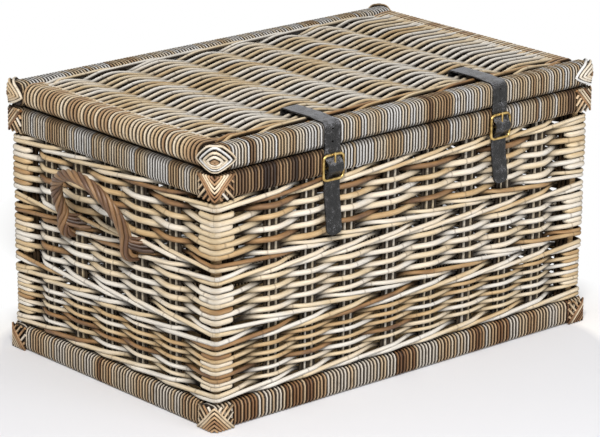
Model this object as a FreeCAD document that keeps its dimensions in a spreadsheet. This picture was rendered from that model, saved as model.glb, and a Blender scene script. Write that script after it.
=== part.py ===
# Woven rattan storage chest: hinged lid, two buckled leather straps, two rope handles.
# Millimetres. X runs along the front, Y towards the back, Z up, origin under the middle of the base.
import FreeCAD, Part
import Sketcher
import math
import os
from FreeCAD import Placement, Rotation, Vector

os.makedirs("parts", exist_ok=True)
doc = FreeCAD.newDocument("StorageChest")

# Driving sizes: alias, value, what it is.
driving_sizes = [
    ("length", 800, "outside length of the rims"),
    ("depth", 510, "outside depth of the rims"),
    ("height", 445, "floor to the top of the lid rails"),
    ("base_rim_height", 41, "wrapped rim that stands on the floor"),
    ("body_rim_height", 42.5, "wrapped rim round the mouth"),
    ("lid_rail_height", 40, "wrapped rails of the lid"),
    ("lid_gap", 0.5, "shut lid to body rim"),
    ("rail_depth", 34, "thickness of every wrapped rail"),
    ("rail_chamfer", 6, "softened edges of a wrapped rail"),
    ("end_chamfer", 10, "rounder edges of the end rails of the lid"),
    ("loop_groove", 2.5, "groove between the pairs of loops round an end of the lid"),
    ("batten_chamfer", 4, "softened edges of a batten"),
    ("wrap_thickness", 3, "peel wound round a batten"),
    ("board_thickness", 6, "plywood base board"),
    ("board_lift", 6, "floor to the underside of the board"),
    ("bearer_width", 24, "cross batten under the board"),
    ("bearer_lift", 1, "floor to a cross batten"),
    ("bearer_spacing", 240, "between the cross battens"),
    ("post_radius", 8, "corner pole"),
    ("post_inset", 21, "outer faces to the axis of a corner pole"),
    ("post_play", 0.1, "corner pole in its bored hole"),
    ("seat_gap", 0.3, "clearance between pieces that lie on each other"),
    ("weave_recess", 2, "face of the rims to the face of the weave"),
    ("thick_rod", 8, "rods of the upper and middle bands and of the lid"),
    ("thin_rod", 6, "rods of the lower band"),
    ("waling_rod", 6.6, "rods of the waling"),
    ("waling_rise", 8, "height step between the three rods of a wale"),
    ("stake_width", 4, "thin upright rod"),
    ("stake_spacing", 10, "between the two rods of a stake"),
    ("bend_ease", 2.3, "a rod clears its stake by this at the top of its bend"),
    ("corner_loop_reach", 40, "filler loops round a corner, from the outer faces"),
    ("lid_sink", 10, "top of the lid rails to the middle of its weave"),
    ("end_pole_radius", 12, "pole inside each end of the lid"),
    ("handle_span", 156, "between the legs of a handle"),
    ("handle_shift", 16, "handles sit this far behind the middle"),
    ("handle_foot_drop", 14, "upper double wale to where the legs enter it"),
    ("handle_leg", 35.5, "upright part of a leg"),
    ("handle_lean_run", 4, "leaning part of a leg below the arch"),
    ("leg_bend", 15, "bend where a leg starts to lean out"),
    ("foot_bend", 14, "bend of a leg into the wall"),
    ("rope_radius", 10, "twisted rope of the handles"),
    ("rope_standoff", 6.6, "rope to the wall, room for the lashing"),
    ("lashing_rod", 5, "rod wound round a leg"),
    ("lashing_pitch", 7.5, "one turn of a lashing"),
    ("lashing_height", 17.5, "a leg's foot to its lashing"),
    ("strap_width", 30, "leather straps"),
    ("strap_thickness", 2.4, "leather straps"),
    ("left_strap_place", 230, "left corner to the middle of the left strap"),
    ("right_strap_place", 586, "left corner to the middle of the right strap"),
    ("strap_exit", 96, "front face to where a strap leaves the weave"),
    ("strap_ease", 2.2, "strap bends this far inside the openings of a buckle"),
    ("strap_tab", 16, "turned end of a strap under the weave"),
    ("left_tail_drop", 108, "buckle bar to the tip of the left strap"),
    ("right_tail_drop", 93, "buckle bar to the tip of the right strap"),
    ("tail_standoff", 8, "tip of a strap stands off by this"),
    ("tail_rounding", 11, "rounded tip of a strap"),
    ("punch_radius", 2, "punched holes of a strap"),
    ("punch_spacing", 20, "between punched holes"),
    ("buckle_width", 46, "outside of the brass frame"),
    ("buckle_height", 43, "outside of the brass frame"),
    ("buckle_wire", 4, "thickness of the brass frame"),
    ("buckle_corner", 9, "outer corner radius of the frame"),
    ("buckle_rise", 14, "underside of the body rim to the centre bar"),
    ("bar_play", 0.1, "centre bar in the chape and in the eye of the prong"),
    ("prong_radius", 1.6, "prong"),
    ("prong_width", 5, "eye of the prong along the bar"),
    ("prong_reach", 24, "tip of the prong above the centre bar"),
    ("chape_thickness", 2.6, "leather loop that holds a buckle"),
    ("chape_width", 26, "leather loop that holds a buckle"),
    ("chape_tail", 9, "chape below the centre bar"),
    ("hinge_spacing", 400, "between the two leather hinges"),
    ("hinge_width", 40, "leather hinges"),
    ("hinge_thickness", 2.6, "leather hinges"),
    ("hinge_reach", 30, "leather hinge above and below its fold"),
    ("nail_radius", 1.3, "shank of a brass nail"),
    ("nail_head_radius", 4, "head of a brass nail"),
    ("nail_head", 1.8, "thickness of a nail's head"),
    ("nail_length", 16, "shank of a brass nail"),
    ("nail_play", 0.4, "nail in its leather hole"),
    ("nail_height", 20, "fold of a hinge to its nails"),
    ("nail_spacing", 22, "between the nails of a row"),
]

# Stakes, as shares of the length or depth, counted from the left corner of the wall.
front_stake_shares = (0.155, 0.247, 0.347, 0.459, 0.563, 0.669, 0.769, 0.866)
right_stake_shares = (0.218, 0.378, 0.526, 0.672, 0.820)
lid_stake_shares = (0.085, 0.194, 0.320, 0.440, 0.546, 0.656, 0.766, 0.862)

# The two double wales, as shares of the height of the woven wall.
double_wale_shares = (0.327, 0.642)

handle_lean = 24  # degrees that the arch of a handle leans out from the wall

# How far the three rods of the lid's waling end above or below its middle.
lid_wale_end_shares = (-0.4, 0.8, 0.2)

# How many rods each band has, pairs of loops round an end of the lid, half turns of a lashing, faces of a pole and of the rope, degrees
# of one piece of a bend of the rope.
lower_band_rows = 7
middle_band_rows = 5
upper_band_rows = 6
lid_rows = 28
end_loop_pairs = 24
lashing_half_turns = 3
pole_sides = 12
rope_sides = 8
bar_step = 12

sheet = doc.addObject("Spreadsheet::Sheet", "Sizes")
for row, (alias, value, note) in enumerate(driving_sizes, 1):
    sheet.set(f"A{row}", note)
    sheet.set(f"B{row}", str(value))
    sheet.setAlias(f"B{row}", alias)
doc.recompute()


def size(alias):
    return float(sheet.get(alias))


def bind(feature, expressions):
    # The word after each @ is an alias of the sheet.
    for name, expression in expressions.items():
        feature.setExpression(name, expression.replace("@", "Sizes."))


# Heights and places that the pieces share.
half_length = size("length") / 2
half_depth = size("depth") / 2
base_top = size("base_rim_height")
lid_bottom = size("height") - size("lid_rail_height")
rim_top = lid_bottom - size("lid_gap")
rim_bottom = rim_top - size("body_rim_height")
wall_height = rim_bottom - base_top
lid_middle = size("height") - size("lid_sink")
seat_gap = size("seat_gap")


def swing(width):
    # How far a rod's middle passes to each side of the stakes.
    return size("stake_width") / 2 + width / 2 + size("bend_ease")


post_reach = size("post_radius") / math.cos(math.pi / pole_sides)
wall_inset = size("weave_recess") + size("thick_rod") / 2 + swing(size("thick_rod"))
rim_low = "(@height - @lid_rail_height - @lid_gap - @body_rim_height)"

# The four walls, anticlockwise from the front: name, left corner seen from outside, run,
# outward normal, how long the wall is, where its stakes stand.
front_places = [share * size("length") for share in front_stake_shares]
right_places = [share * size("depth") for share in right_stake_shares]
across_x = Vector(1, 0, 0)
across_y = Vector(0, 1, 0)
upward = Vector(0, 0, 1)
walls = {
    "front": (Vector(-half_length, -half_depth), across_x, -across_y, "length", front_places),
    "right": (Vector(half_length, -half_depth), across_y, across_x, "depth", right_places),
    "back": (Vector(half_length, half_depth), -across_x, across_y, "length",
             [size("length") - place for place in reversed(front_places)]),
    "left": (Vector(-half_length, half_depth), -across_y, -across_x, "depth",
             [size("depth") - place for place in reversed(right_places)]),
}
corner_names = {"front": "front_left", "right": "front_right", "back": "back_right",
                "left": "back_left"}

pieces = []


def add_piece(feature, name):
    feature.Label = name
    pieces.append(feature)


def add_shapes(name, shapes):
    # One sub-part: a single solid, or a group of separate ones.
    feature = doc.addObject("Part::Feature", name)
    feature.Shape = shapes[0] if len(shapes) == 1 else Part.makeCompound(shapes)
    feature.Placement = Placement()
    add_piece(feature, name)


def flat_face(corners):
    return Part.Face(Part.makePolygon(corners + corners[:1]))


def skin(rings):
    # A solid with flat faces over a row of outlines that have the same number of corners.
    count = len(rings[0])
    faces = [flat_face(rings[0]), flat_face(rings[-1][::-1])]
    for low, high in zip(rings, rings[1:]):
        for a in range(count):
            b = (a + 1) % count
            faces.append(flat_face([low[b], low[a], high[a], high[b]]))
    return Part.Solid(Part.Shell(faces))


def regular_ring(centre, axis_a, axis_b, radius, sides):
    # Corners with equal sides that touch a circle from outside.
    spots = []
    for index in range(sides):
        angle = 2 * math.pi * (index + 1 / 2) / sides
        arm = axis_a * math.cos(angle) + axis_b * math.sin(angle)
        spots.append(centre + arm * (radius / math.cos(math.pi / sides)))
    return spots


def pole(start, way, axis_a, axis_b, radius):
    # A straight pole with as many faces as pole_sides says.
    ring = regular_ring(start, axis_a, axis_b, radius, pole_sides)
    return flat_face(ring).extrude(way)


# Rods: split cane, ridge outwards and flat behind, mitred at every bend.

def rod(points, width, facing, start_normal=None, end_normal=None):
    runs = [(b - a).normalize() for a, b in zip(points, points[1:])]
    rise = facing.cross(runs[0]).normalize() * (width / 2)
    ridge = runs[0].cross(rise).normalize() * (width / 2)
    ring = [points[0] + arm for arm in (ridge, rise - ridge / 2, -rise - ridge / 2)]
    rings = []
    for index, point in enumerate(points):
        before = runs[max(index - 1, 0)]
        normal = before + runs[min(index, len(runs) - 1)]
        if index == 0:
            normal = start_normal or normal
        if index == len(points) - 1:
            normal = end_normal or normal
        ring = [
            corner + before * ((point - corner).dot(normal) / before.dot(normal))
            for corner in ring
        ]
        rings.append(ring)
    return skin(rings)


def wall_rod(wall, first_station, width, level, is_outside, lift):
    # A rod passes outside or inside each stake. At a corner it is mitred with the next wall's
    # rod outside the pole, or butts on the pole inside.
    corner, run, outward, reach, stakes = walls[wall]
    outer_inset = wall_inset - swing(width)
    inner_inset = wall_inset + swing(width)
    butt = size("post_inset") + post_reach + seat_gap
    outer = [is_outside(first_station + index) for index in range(len(stakes) + 2)]
    start = outer_inset if outer[0] else butt
    end = size(reach) - (outer_inset if outer[-1] else butt)
    points = []
    for index, along in enumerate([start, *stakes, end]):
        inset = outer_inset if outer[index] else inner_inset
        height = level + lift(first_station + index)
        points.append(corner + run * along - outward * inset + upward * height)
    return rod(points, width, outward, run + outward if outer[0] else run,
               run - outward if outer[-1] else run)


def band_levels(low, high, rows):
    pitch = (high - low) / rows
    return [low + pitch * (row + 1 / 2) for row in range(rows)]


waling_half = size("waling_rise") + size("waling_rod") / 2
single_wales = [base_top + seat_gap + waling_half, rim_bottom - seat_gap - waling_half]
double_wales = [base_top + wall_height * share for share in double_wale_shares]
wale_offset = waling_half + seat_gap
double_half = wale_offset + waling_half
band_rods = []
for low, high, rows, alias in (
    (single_wales[0] + waling_half, double_wales[0] - double_half, lower_band_rows, "thin_rod"),
    (double_wales[0] + double_half, double_wales[1] - double_half, middle_band_rows, "thick_rod"),
    (double_wales[1] + double_half, single_wales[1] - waling_half, upper_band_rows, "thick_rod"),
):
    band_rods += [(level, size(alias)) for level in band_levels(low, high, rows)]


def randing(wall, first_station):
    # One rod over a stake and under the next, neighbours the other way round.
    rods = []
    for row, (level, width) in enumerate(band_rods):
        def outside(station):
            return (station + row) % 2 == 0

        def level_run(station):
            return 0

        rods.append(wall_rod(wall, first_station, width, level, outside, level_run))
    return rods


def wale(wall, first_station, level, slope):
    # Three rods, each in front of two stakes and behind the third, climbing or falling on the way.
    rods = []
    for strand in range(3):
        def outside(station):
            return (station + strand) % 3 > 0

        def lift(station):
            return (0, -slope, slope)[(station + strand) % 3] * size("waling_rise")

        rods.append(wall_rod(wall, first_station, size("waling_rod"), level, outside, lift))
    return rods


def waling(wall, first_station):
    # A single wale at the bottom and the top, and two pairs that lean against each other.
    rods = []
    for level in single_wales:
        rods += wale(wall, first_station, level, 1)
    for level in double_wales:
        rods += wale(wall, first_station, level + wale_offset, -1)
        rods += wale(wall, first_station, level - wale_offset, 1)
    return rods


def stakes(wall):
    # Each stake is two thin upright rods side by side.
    corner, run, outward, reach, places = walls[wall]
    width = size("stake_width")
    rods = []
    for along in places:
        for hand in (-1 / 2, 1 / 2):
            foot = corner + run * (along + hand * size("stake_spacing")) - outward * wall_inset
            foot += upward * (base_top + seat_gap) - (across_x + across_y) * (width / 2)
            rods.append(Part.makeBox(width, width, wall_height - 2 * seat_gap, foot))
    return rods


def corner_loops(wall, station):
    # Where a rod passes inside the corner pole, a short loop fills its place outside.
    corner, run, outward, reach, places = walls[wall]
    far = size("corner_loop_reach")
    loops = []
    for row, (level, width) in enumerate(band_rods):
        if (station + row) % 2 == 0:
            continue
        inset = size("post_inset") - post_reach - seat_gap - width / 4
        turn = corner + run * inset - outward * inset + upward * level
        back = corner + run * inset - outward * far + upward * level
        on = corner + run * far - outward * inset + upward * level
        loops.append(rod([back, turn, on], width, -run))
    return loops


def make_walls():
    station = -1
    for wall, (corner, run, outward, reach, places) in walls.items():
        add_shapes(f"{wall}_stakes", stakes(wall))
        add_shapes(f"{wall}_weavers", randing(wall, station))
        add_shapes(f"{wall}_waling", waling(wall, station))
        add_shapes(f"corner_loops_{corner_names[wall]}", corner_loops(wall, station))
        station += len(places) + 1


# Wrapped rims: battens inside, sleeves of peel round them, a bound cap over each corner.

def outline(sketch, corners):
    # A closed outline whose corners are set by expressions.
    first = sketch.GeometryCount
    count = len(corners)
    words = [[text.replace("@", "Sizes.") for text in corner] for corner in corners]
    spots = [Vector(*[float(sketch.evalExpression(text)) for text in pair]) for pair in words]
    for index in range(count):
        sketch.addGeometry(Part.LineSegment(spots[index], spots[(index + 1) % count]))
    for index, (across, up) in enumerate(words):
        following = first + (index + 1) % count
        sketch.addConstraint(Sketcher.Constraint("Coincident", first + index, 2, following, 1))
        for kind, text, value in (("DistanceX", across, spots[index].x),
                                  ("DistanceY", up, spots[index].y)):
            number = sketch.addConstraint(
                Sketcher.Constraint(kind, -1, 1, first + index, 1, value))
            sketch.setExpression(f"Constraints[{number}]", text)


def rail_outline(height, inset, soft):
    # Eight corners of a rail's section that lies this far inside its faces.
    far, top = f"@rail_depth - {inset}", f"{height} - {inset}"
    return [
        (f"{inset} + {soft}", inset), (f"{far} - {soft}", inset), (far, f"{inset} + {soft}"),
        (far, f"{top} - {soft}"), (f"{far} - {soft}", top), (f"{inset} + {soft}", top),
        (inset, f"{top} - {soft}"), (inset, f"{inset} + {soft}"),
    ]


def wall_placement(wall, low, start):
    # Local X goes inwards from the outer face, Y up and Z along the wall.
    corner, run, outward, reach, places = walls[wall]
    turn = Rotation(-outward, upward, run, "XYZ")
    return Placement(corner + run * start + upward * low, turn)


def make_run(name, wall, low, outlines, length, start):
    # A straight length of an outline along a wall, hollow where a second outline is given.
    body = doc.addObject("PartDesign::Body", name)
    sketch = body.newObject("Sketcher::SketchObject", f"{name}_section")
    plane = [f for f in body.Origin.OriginFeatures if f.Role == "XY_Plane"][0]
    sketch.AttachmentSupport = [(plane, "")]
    sketch.MapMode = "FlatFace"
    for corners in outlines:
        outline(sketch, corners)
    pad = body.newObject("PartDesign::Pad", f"{name}_run")
    pad.Profile = sketch
    bind(pad, {"Length": length})
    body.Placement = wall_placement(wall, low, start)
    return body


def make_sleeve(name, wall, low, height, chamfer):
    # Peel wound round a batten, from corner cap to corner cap.
    inside = rail_outline(height, "@wrap_thickness", "@batten_chamfer")
    outlines = [rail_outline(height, "0", chamfer), inside]
    length = f"@{walls[wall][3]} - 2 * @rail_depth"
    add_piece(make_run(name, wall, low, outlines, length, size("rail_depth")), name)


def rail_bar(wall, low, height, chamfer, inset=0, start=0):
    # A rail's outline over the length of a wall, this far inside its faces and its ends.
    place = wall_placement(wall, low, start)
    far, top = size("rail_depth") - inset, height - inset
    section = [
        (inset + chamfer, inset), (far - chamfer, inset), (far, inset + chamfer),
        (far, top - chamfer), (far - chamfer, top), (inset + chamfer, top),
        (inset, top - chamfer), (inset, inset + chamfer),
    ]
    corners = [place.multVec(Vector(across, up)) for across, up in section]
    return flat_face(corners).extrude(walls[wall][1] * (size(walls[wall][3]) - 2 * start))


def batten_bar(wall, low, height, start):
    return rail_bar(wall, low, height, size("batten_chamfer"), size("wrap_thickness"), start)


def make_batten(name, wall, low, height):
    # Front and back battens run through, side battens butt on them.
    inset = "@wrap_thickness"
    outlines = [rail_outline(height, inset, "@batten_chamfer")]
    start = size("wrap_thickness")
    if wall in ("left", "right"):
        inset = "(@rail_depth - @wrap_thickness)"
        start = size("rail_depth") - start
    return make_run(name, wall, low, outlines, f"@{walls[wall][3]} - 2 * {inset}", start)


def make_pole(name, radius, hand, turn, low, height):
    # An upright pole at a corner, or the bore for one.
    prism = doc.addObject("Part::Prism", name)
    prism.Polygon = pole_sides
    bind(prism, {"Circumradius": f"{radius} / cos({180 / pole_sides} deg)", "Height": height,
                 "Placement.Base.x": f"{hand}(@length / 2 - @post_inset)",
                 "Placement.Base.y": f"{turn}(@depth / 2 - @post_inset)",
                 "Placement.Base.z": low})
    return prism


def make_battens(name, low, base, height):
    # The battens of one rim. The front and back ones take the corner poles.
    parts = []
    for wall in walls:
        bar = make_batten(f"{name}_{wall}", wall, base, height)
        for hand in ("-", "") if wall in ("front", "back") else ():
            turn = {"front": "-", "back": ""}[wall]
            bore = make_pole(f"{name}_{wall}_bore", "(@post_radius + @post_play)", hand, turn,
                             low, height)
            cut = doc.addObject("Part::Cut", f"{name}_{wall}_bored")
            cut.Base = bar
            cut.Tool = bore
            bar = cut
        parts.append(bar)
    group = doc.addObject("Part::Compound", name)
    group.Links = parts
    add_piece(group, name)


def make_caps(name, low, height, bore_low, bore_high):
    # Peel crossed over each corner: the two rails' outlines where they meet, round the battens
    # and the corner pole.
    caps = []
    turned = Rotation(upward, 180 / pole_sides)
    pairs = (("front", "left"), ("front", "right"), ("back", "right"), ("back", "left"))
    hands = ((-1, -1), (1, -1), (1, 1), (-1, 1))
    for (long_wall, short_wall), (turn_x, turn_y) in zip(pairs, hands):
        cap = rail_bar(long_wall, low, height, size("rail_chamfer"))
        cap = cap.common(rail_bar(short_wall, low, height, size("rail_chamfer")))
        cap = cap.cut(batten_bar(long_wall, low, height, size("wrap_thickness")))
        butt = size("rail_depth") - size("wrap_thickness")
        cap = cap.cut(batten_bar(short_wall, low, height, butt))
        corner = Vector(turn_x * (half_length - size("post_inset")),
                        turn_y * (half_depth - size("post_inset")), bore_low)
        hole = pole(corner, upward * (bore_high - bore_low), turned.multVec(across_y),
                    turned.multVec(across_x), size("post_radius") + size("post_play"))
        caps += cap.cut(hole).Solids
    add_shapes(name, caps)


def make_posts():
    height = "@height - @lid_rail_height - @lid_gap - 2 * @wrap_thickness"
    for turn, side in (("-", "front"), ("", "back")):
        for hand, end in (("-", "left"), ("", "right")):
            name = f"corner_post_{side}_{end}"
            post = make_pole(name, "@post_radius", hand, turn, "@wrap_thickness", height)
            add_piece(post, name)


def make_base():
    board = doc.addObject("Part::Box", "base_board")
    bind(board, {"Length": "@length - 2 * (@rail_depth + @seat_gap)",
                 "Width": "@depth - 2 * (@rail_depth + @seat_gap)", "Height": "@board_thickness",
                 "Placement.Base.x": "-@length / 2 + @rail_depth + @seat_gap",
                 "Placement.Base.y": "-@depth / 2 + @rail_depth + @seat_gap",
                 "Placement.Base.z": "@board_lift"})
    add_piece(board, "base_board")
    bearers = []
    for turn in (-1, 0, 1):
        bearer = doc.addObject("Part::Box", "bearer")
        bind(bearer, {"Length": "@bearer_width", "Width": "@depth - 2 * (@rail_depth + @seat_gap)",
                      "Height": "@board_lift - @bearer_lift - @seat_gap",
                      "Placement.Base.x": f"{turn} * @bearer_spacing - @bearer_width / 2",
                      "Placement.Base.y": "-@depth / 2 + @rail_depth + @seat_gap",
                      "Placement.Base.z": "@bearer_lift"})
        bearers.append(bearer)
    group = doc.addObject("Part::Compound", "base_bearers")
    group.Links = bearers
    add_piece(group, "base_bearers")


def make_rims():
    for wall in walls:
        make_sleeve(f"base_wrap_{wall}", wall, 0, "@base_rim_height", "@rail_chamfer")
        make_sleeve(f"rim_wrap_{wall}", wall, rim_bottom, "@body_rim_height", "@rail_chamfer")
    make_battens("base_battens", "0", 0, "@base_rim_height")
    make_battens("rim_battens", rim_low, rim_bottom, "@body_rim_height")
    near = size("wrap_thickness")
    make_caps("base_corner_caps", 0, base_top, near, base_top)
    make_caps("rim_corner_caps", rim_bottom, size("body_rim_height"), rim_bottom, rim_top - near)


# Lid: wrapped battens front and back, bound poles at the ends, a woven panel between.

def lid_rod(width, across, above, drift, end_shares=(0, 0)):
    # Rods run from end to end, over or under each stake. Their ends lie these shares of a bend
    # above the middle.
    butt = half_length - size("rail_depth") - seat_gap
    places = [share * size("length") - half_length for share in lid_stake_shares]
    points = []
    for station, along in enumerate([-butt, *places, butt]):
        share = 1 if above(station) else -1
        if station in (0, len(places) + 1):
            share = end_shares[station > 0]
        rise = swing(width) * share
        points.append(Vector(along, across + drift(station), lid_middle + rise))
    return rod(points, width, upward, across_x, across_x)


def make_lid_weave():
    wale_middle = half_depth - size("rail_depth") - seat_gap - waling_half
    edge = wale_middle - waling_half - seat_gap
    rods = []
    for row, across in enumerate(band_levels(-edge, edge, lid_rows)):
        def above(station):
            return (station + row) % 2 == 0

        def straight(station):
            return 0

        rods.append(lid_rod(size("thick_rod"), across, above, straight))
    add_shapes("lid_weavers", rods)
    rods = []
    for side in (-1, 1):
        for strand in range(3):
            def in_front(station):
                return (station + strand) % 3 > 0

            def drift(station):
                return (0, -1, 1)[(station + strand) % 3] * size("waling_rise")

            ends = (lid_wale_end_shares[strand], lid_wale_end_shares[-strand])
            rods.append(lid_rod(size("waling_rod"), side * wale_middle, in_front, drift, ends))
    add_shapes("lid_waling", rods)
    width = size("stake_width")
    reach = half_depth - size("rail_depth") - seat_gap
    rods = []
    for share in lid_stake_shares:
        for hand in (-1 / 2, 1 / 2):
            along = share * size("length") - half_length + hand * size("stake_spacing")
            start = Vector(along - width / 2, -reach, lid_middle - width / 2)
            rods.append(Part.makeBox(width, 2 * reach, width, start))
    add_shapes("lid_stakes", rods)
    return edge


def end_pole(hand):
    # The pole inside one end of the lid, between the two battens.
    reach = half_depth - size("rail_depth") + size("wrap_thickness")
    start = Vector(hand * (half_length - size("rail_depth") / 2), -reach,
                   lid_bottom + size("lid_rail_height") / 2)
    return pole(start, across_y * (2 * reach), across_x, upward, size("end_pole_radius"))


def end_loops(wall, hand):
    # The lid's rods turn over the end pole in pairs: a ridge for each pair, a groove between.
    place = wall_placement(wall, lid_bottom, size("rail_depth"))
    step = (size("depth") - 2 * size("rail_depth")) / (2 * end_loop_pairs)
    far, top, soft = size("rail_depth"), size("lid_rail_height"), size("end_chamfer")
    rings = []
    for index in range(2 * end_loop_pairs + 1):
        deep = 0 if index % 2 else size("loop_groove")
        section = [
            (soft + deep, 0), (far, 0), (far, top - deep), (soft + deep, top - deep),
            (deep, top - deep - soft), (deep, soft),
        ]
        rings.append([place.multVec(Vector(across, up, index * step)) for across, up in section])
    return skin(rings).cut(end_pole(hand)).removeSplitter()


def make_lid_frame():
    height = "@lid_rail_height"
    make_sleeve("lid_front_wrap", "front", lid_bottom, height, "@rail_chamfer")
    make_sleeve("lid_back_wrap", "back", lid_bottom, height, "@rail_chamfer")
    add_shapes("lid_left_end_binding", end_loops("left", -1).Solids)
    add_shapes("lid_right_end_binding", end_loops("right", 1).Solids)
    group = doc.addObject("Part::Compound", "lid_battens")
    group.Links = [make_batten(f"lid_batten_{wall}", wall, lid_bottom, height)
                   for wall in ("front", "back")]
    add_piece(group, "lid_battens")
    add_shapes("lid_end_poles", [end_pole(-1), end_pole(1)])
    tall = size("lid_rail_height")
    knots = []
    for long_wall in ("front", "back"):
        for short_wall, hand in (("left", -1), ("right", 1)):
            knot = rail_bar(long_wall, lid_bottom, tall, size("rail_chamfer"))
            knot = knot.common(rail_bar(short_wall, lid_bottom, tall, size("end_chamfer")))
            knot = knot.cut(batten_bar(long_wall, lid_bottom, tall, size("wrap_thickness")))
            knots += knot.cut(end_pole(hand)).Solids
    add_shapes("lid_corner_knots", knots)


# What is bent from one length.

def rounded_path(points, radii):
    # Straight runs joined by tangent arcs, as a list of edges.
    edges = []
    start = points[0]
    for corner, radius, following in zip(points[1:-1], radii, points[2:]):
        back = (start - corner).normalize()
        on = (following - corner).normalize()
        half_turn = (math.pi - back.getAngle(on)) / 2
        first = corner + back * (radius * math.tan(half_turn))
        last = corner + on * (radius * math.tan(half_turn))
        inward = (back + on).normalize()
        middle = corner + inward * (radius / math.cos(half_turn) - radius)
        edges.append(Part.LineSegment(start, first).toShape())
        edges.append(Part.Arc(first, middle, last).toShape())
        start = last
    edges.append(Part.LineSegment(start, points[-1]).toShape())
    return edges


def bent_bar(edges, axis_a, axis_b, radius, sides):
    # A thick bar along a path in one leaning plane, in short straight pieces round the bends.
    spots = [edges[0].Vertexes[0].Point]
    for edge in edges:
        sweep_angle = edge.LastParameter - edge.FirstParameter
        count = round(math.degrees(sweep_angle) / bar_step) if hasattr(edge.Curve, "Center") else 1
        for index in range(1, max(count, 1) + 1):
            place = edge.FirstParameter + sweep_angle * index / max(count, 1)
            spots.append(edge.Curve.value(place))
    ring = regular_ring(spots[0], axis_a, axis_b, radius, sides)
    runs = [(b - a).normalize() for a, b in zip(spots, spots[1:])]
    rings = [ring]
    for spot, before, after in zip(spots[1:], runs, runs[1:] + runs[-1:]):
        normal = before + after
        ring = [
            corner + before * ((spot - corner).dot(normal) / before.dot(normal))
            for corner in ring
        ]
        rings.append(ring)
    return skin(rings)


def sweep(edges, profile):
    shell = Part.BRepOffsetAPI.MakePipeShell(Part.Wire(edges))
    shell.add(profile)
    shell.build()
    shell.makeSolid()
    return shell.shape()


def ribbon(edges, thickness, width):
    # A flat strip that follows a path in an upright plane, as an outline drawn out sideways.
    path = Part.Wire(edges)
    sides = [path.makeOffset2D(reach, 0, False, True, False)
             for reach in (thickness / 2, -thickness / 2)]
    ends = [[side.OrderedVertexes[index].Point for side in sides] for index in (0, -1)]
    caps = [Part.LineSegment(*end).toShape() for end in ends]
    outline_edges = Part.__sortEdges__([e for side in sides for e in side.Edges] + caps)
    return Part.Face(Part.Wire(outline_edges)).extrude(width)


# Handles: a rope arch that leans out from each end, its legs lashed to the wall.

weave_face = half_length - size("weave_recess")
waling_reach = wall_inset - swing(size("waling_rod")) - size("waling_rod") / 2
foot_face = half_length - waling_reach + seat_gap
leg_out = weave_face + size("rope_standoff") + size("rope_radius")
leg_places = [size("handle_shift") + hand * size("handle_span") / 2 for hand in (-1, 1)]
foot_height = double_wales[1] - size("handle_foot_drop")
bend_height = foot_height + size("handle_leg")


def make_handle(name, hand):
    lean = math.radians(handle_lean)
    leaning = Vector(hand * math.sin(lean), 0, math.cos(lean))
    foot_out = hand * foot_face
    legs = []
    for place in leg_places:
        knee = Vector(hand * leg_out, place, bend_height)
        top = knee + leaning * (size("leg_bend") / 2 + size("handle_lean_run"))
        legs.append([Vector(foot_out, place, foot_height),
                     Vector(hand * leg_out, place, foot_height), knee, top])
    radii = [size("foot_bend"), size("leg_bend")]
    near, far = legs
    crown = (near[-1] + far[-1]) / 2 + leaning * (size("handle_span") / 2)
    edges = rounded_path(near, radii)
    edges.append(Part.Arc(near[-1], crown, far[-1]).toShape())
    edges += rounded_path(far[::-1], radii[::-1])
    add_shapes(name, [bent_bar(edges, across_y * hand, upward, size("rope_radius"),
                                rope_sides)])


def biarc(start, start_way, end, end_way):
    # Two arcs that leave and arrive in the given directions.
    gap = end - start
    ways = start_way + end_way
    spread = 2 * (1 - start_way.dot(end_way))
    reach = (math.sqrt(gap.dot(ways) ** 2 + spread * gap.dot(gap)) - gap.dot(ways)) / spread
    joint = (start + start_way * reach + end - end_way * reach) / 2
    return [tangent_arc(start, start_way, joint), tangent_arc(end, -end_way, joint)]


def tangent_arc(start, way, end):
    # The arc that leaves start along way and reaches end.
    chord = end - start
    along = chord * (1 / chord.Length)
    side = (way - along * way.dot(along)).normalize()
    quarter = way.getAngle(along) / 2
    middle = start + chord / 2 + side * (chord.Length / 2 * math.tan(quarter))
    return Part.Arc(start, middle, end).toShape()


def lashing(hand, place):
    # A rod wound round a leg: out of the weave on one side, back into it on the other.
    radius = size("rope_radius") / math.cos(math.pi / rope_sides) + seat_gap
    radius += size("lashing_rod") / 2
    low = foot_height + size("lashing_height")
    out = Vector(hand, 0, 0)
    centre = Vector(hand * leg_out, place, low)
    climb = size("lashing_pitch") / (2 * math.pi * radius)
    spots = []
    for half_turn in range(lashing_half_turns + 1):
        turn = (-1) ** half_turn
        flat = half_turn in (0, lashing_half_turns)
        way = (out * turn + upward * (0 if flat else climb)).normalize()
        height = upward * (size("lashing_pitch") / 2 * half_turn)
        spots.append((centre - across_y * (turn * radius) + height, way))
    wall_out = hand * foot_face
    first, last = spots[0][0], spots[-1][0]
    edges = [Part.LineSegment(Vector(wall_out, first.y, first.z), first).toShape()]
    for (a, way_a), (b, way_b) in zip(spots, spots[1:]):
        edges += biarc(a, way_a, b, way_b)
    edges.append(Part.LineSegment(last, Vector(wall_out, last.y, last.z)).toShape())
    return edges


def make_lashings(name):
    windings = []
    for hand, place in [(hand, place) for hand in (-1, 1) for place in leg_places]:
        edges = lashing(hand, place)
        start = edges[0].Vertexes[0].Point
        half = size("lashing_rod") / 2
        ring = [start - across_y * half, start + across_y * (half / 2) + upward * half,
                start + across_y * (half / 2) - upward * half]
        profile = Part.makePolygon(ring + ring[:1])
        windings.append(sweep(edges, profile))
        spots = Part.Wire(edges).discretize(Distance=size("lashing_rod") / 4)
        turn = int(len(spots) / (lashing_half_turns / 2 + 1))
        least = min((a - b).Length for i, a in enumerate(spots) for b in spots[i + turn:])
        print(name, "least gap to itself", round(least - size("lashing_rod"), 2))
    add_shapes(name, windings)


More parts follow.
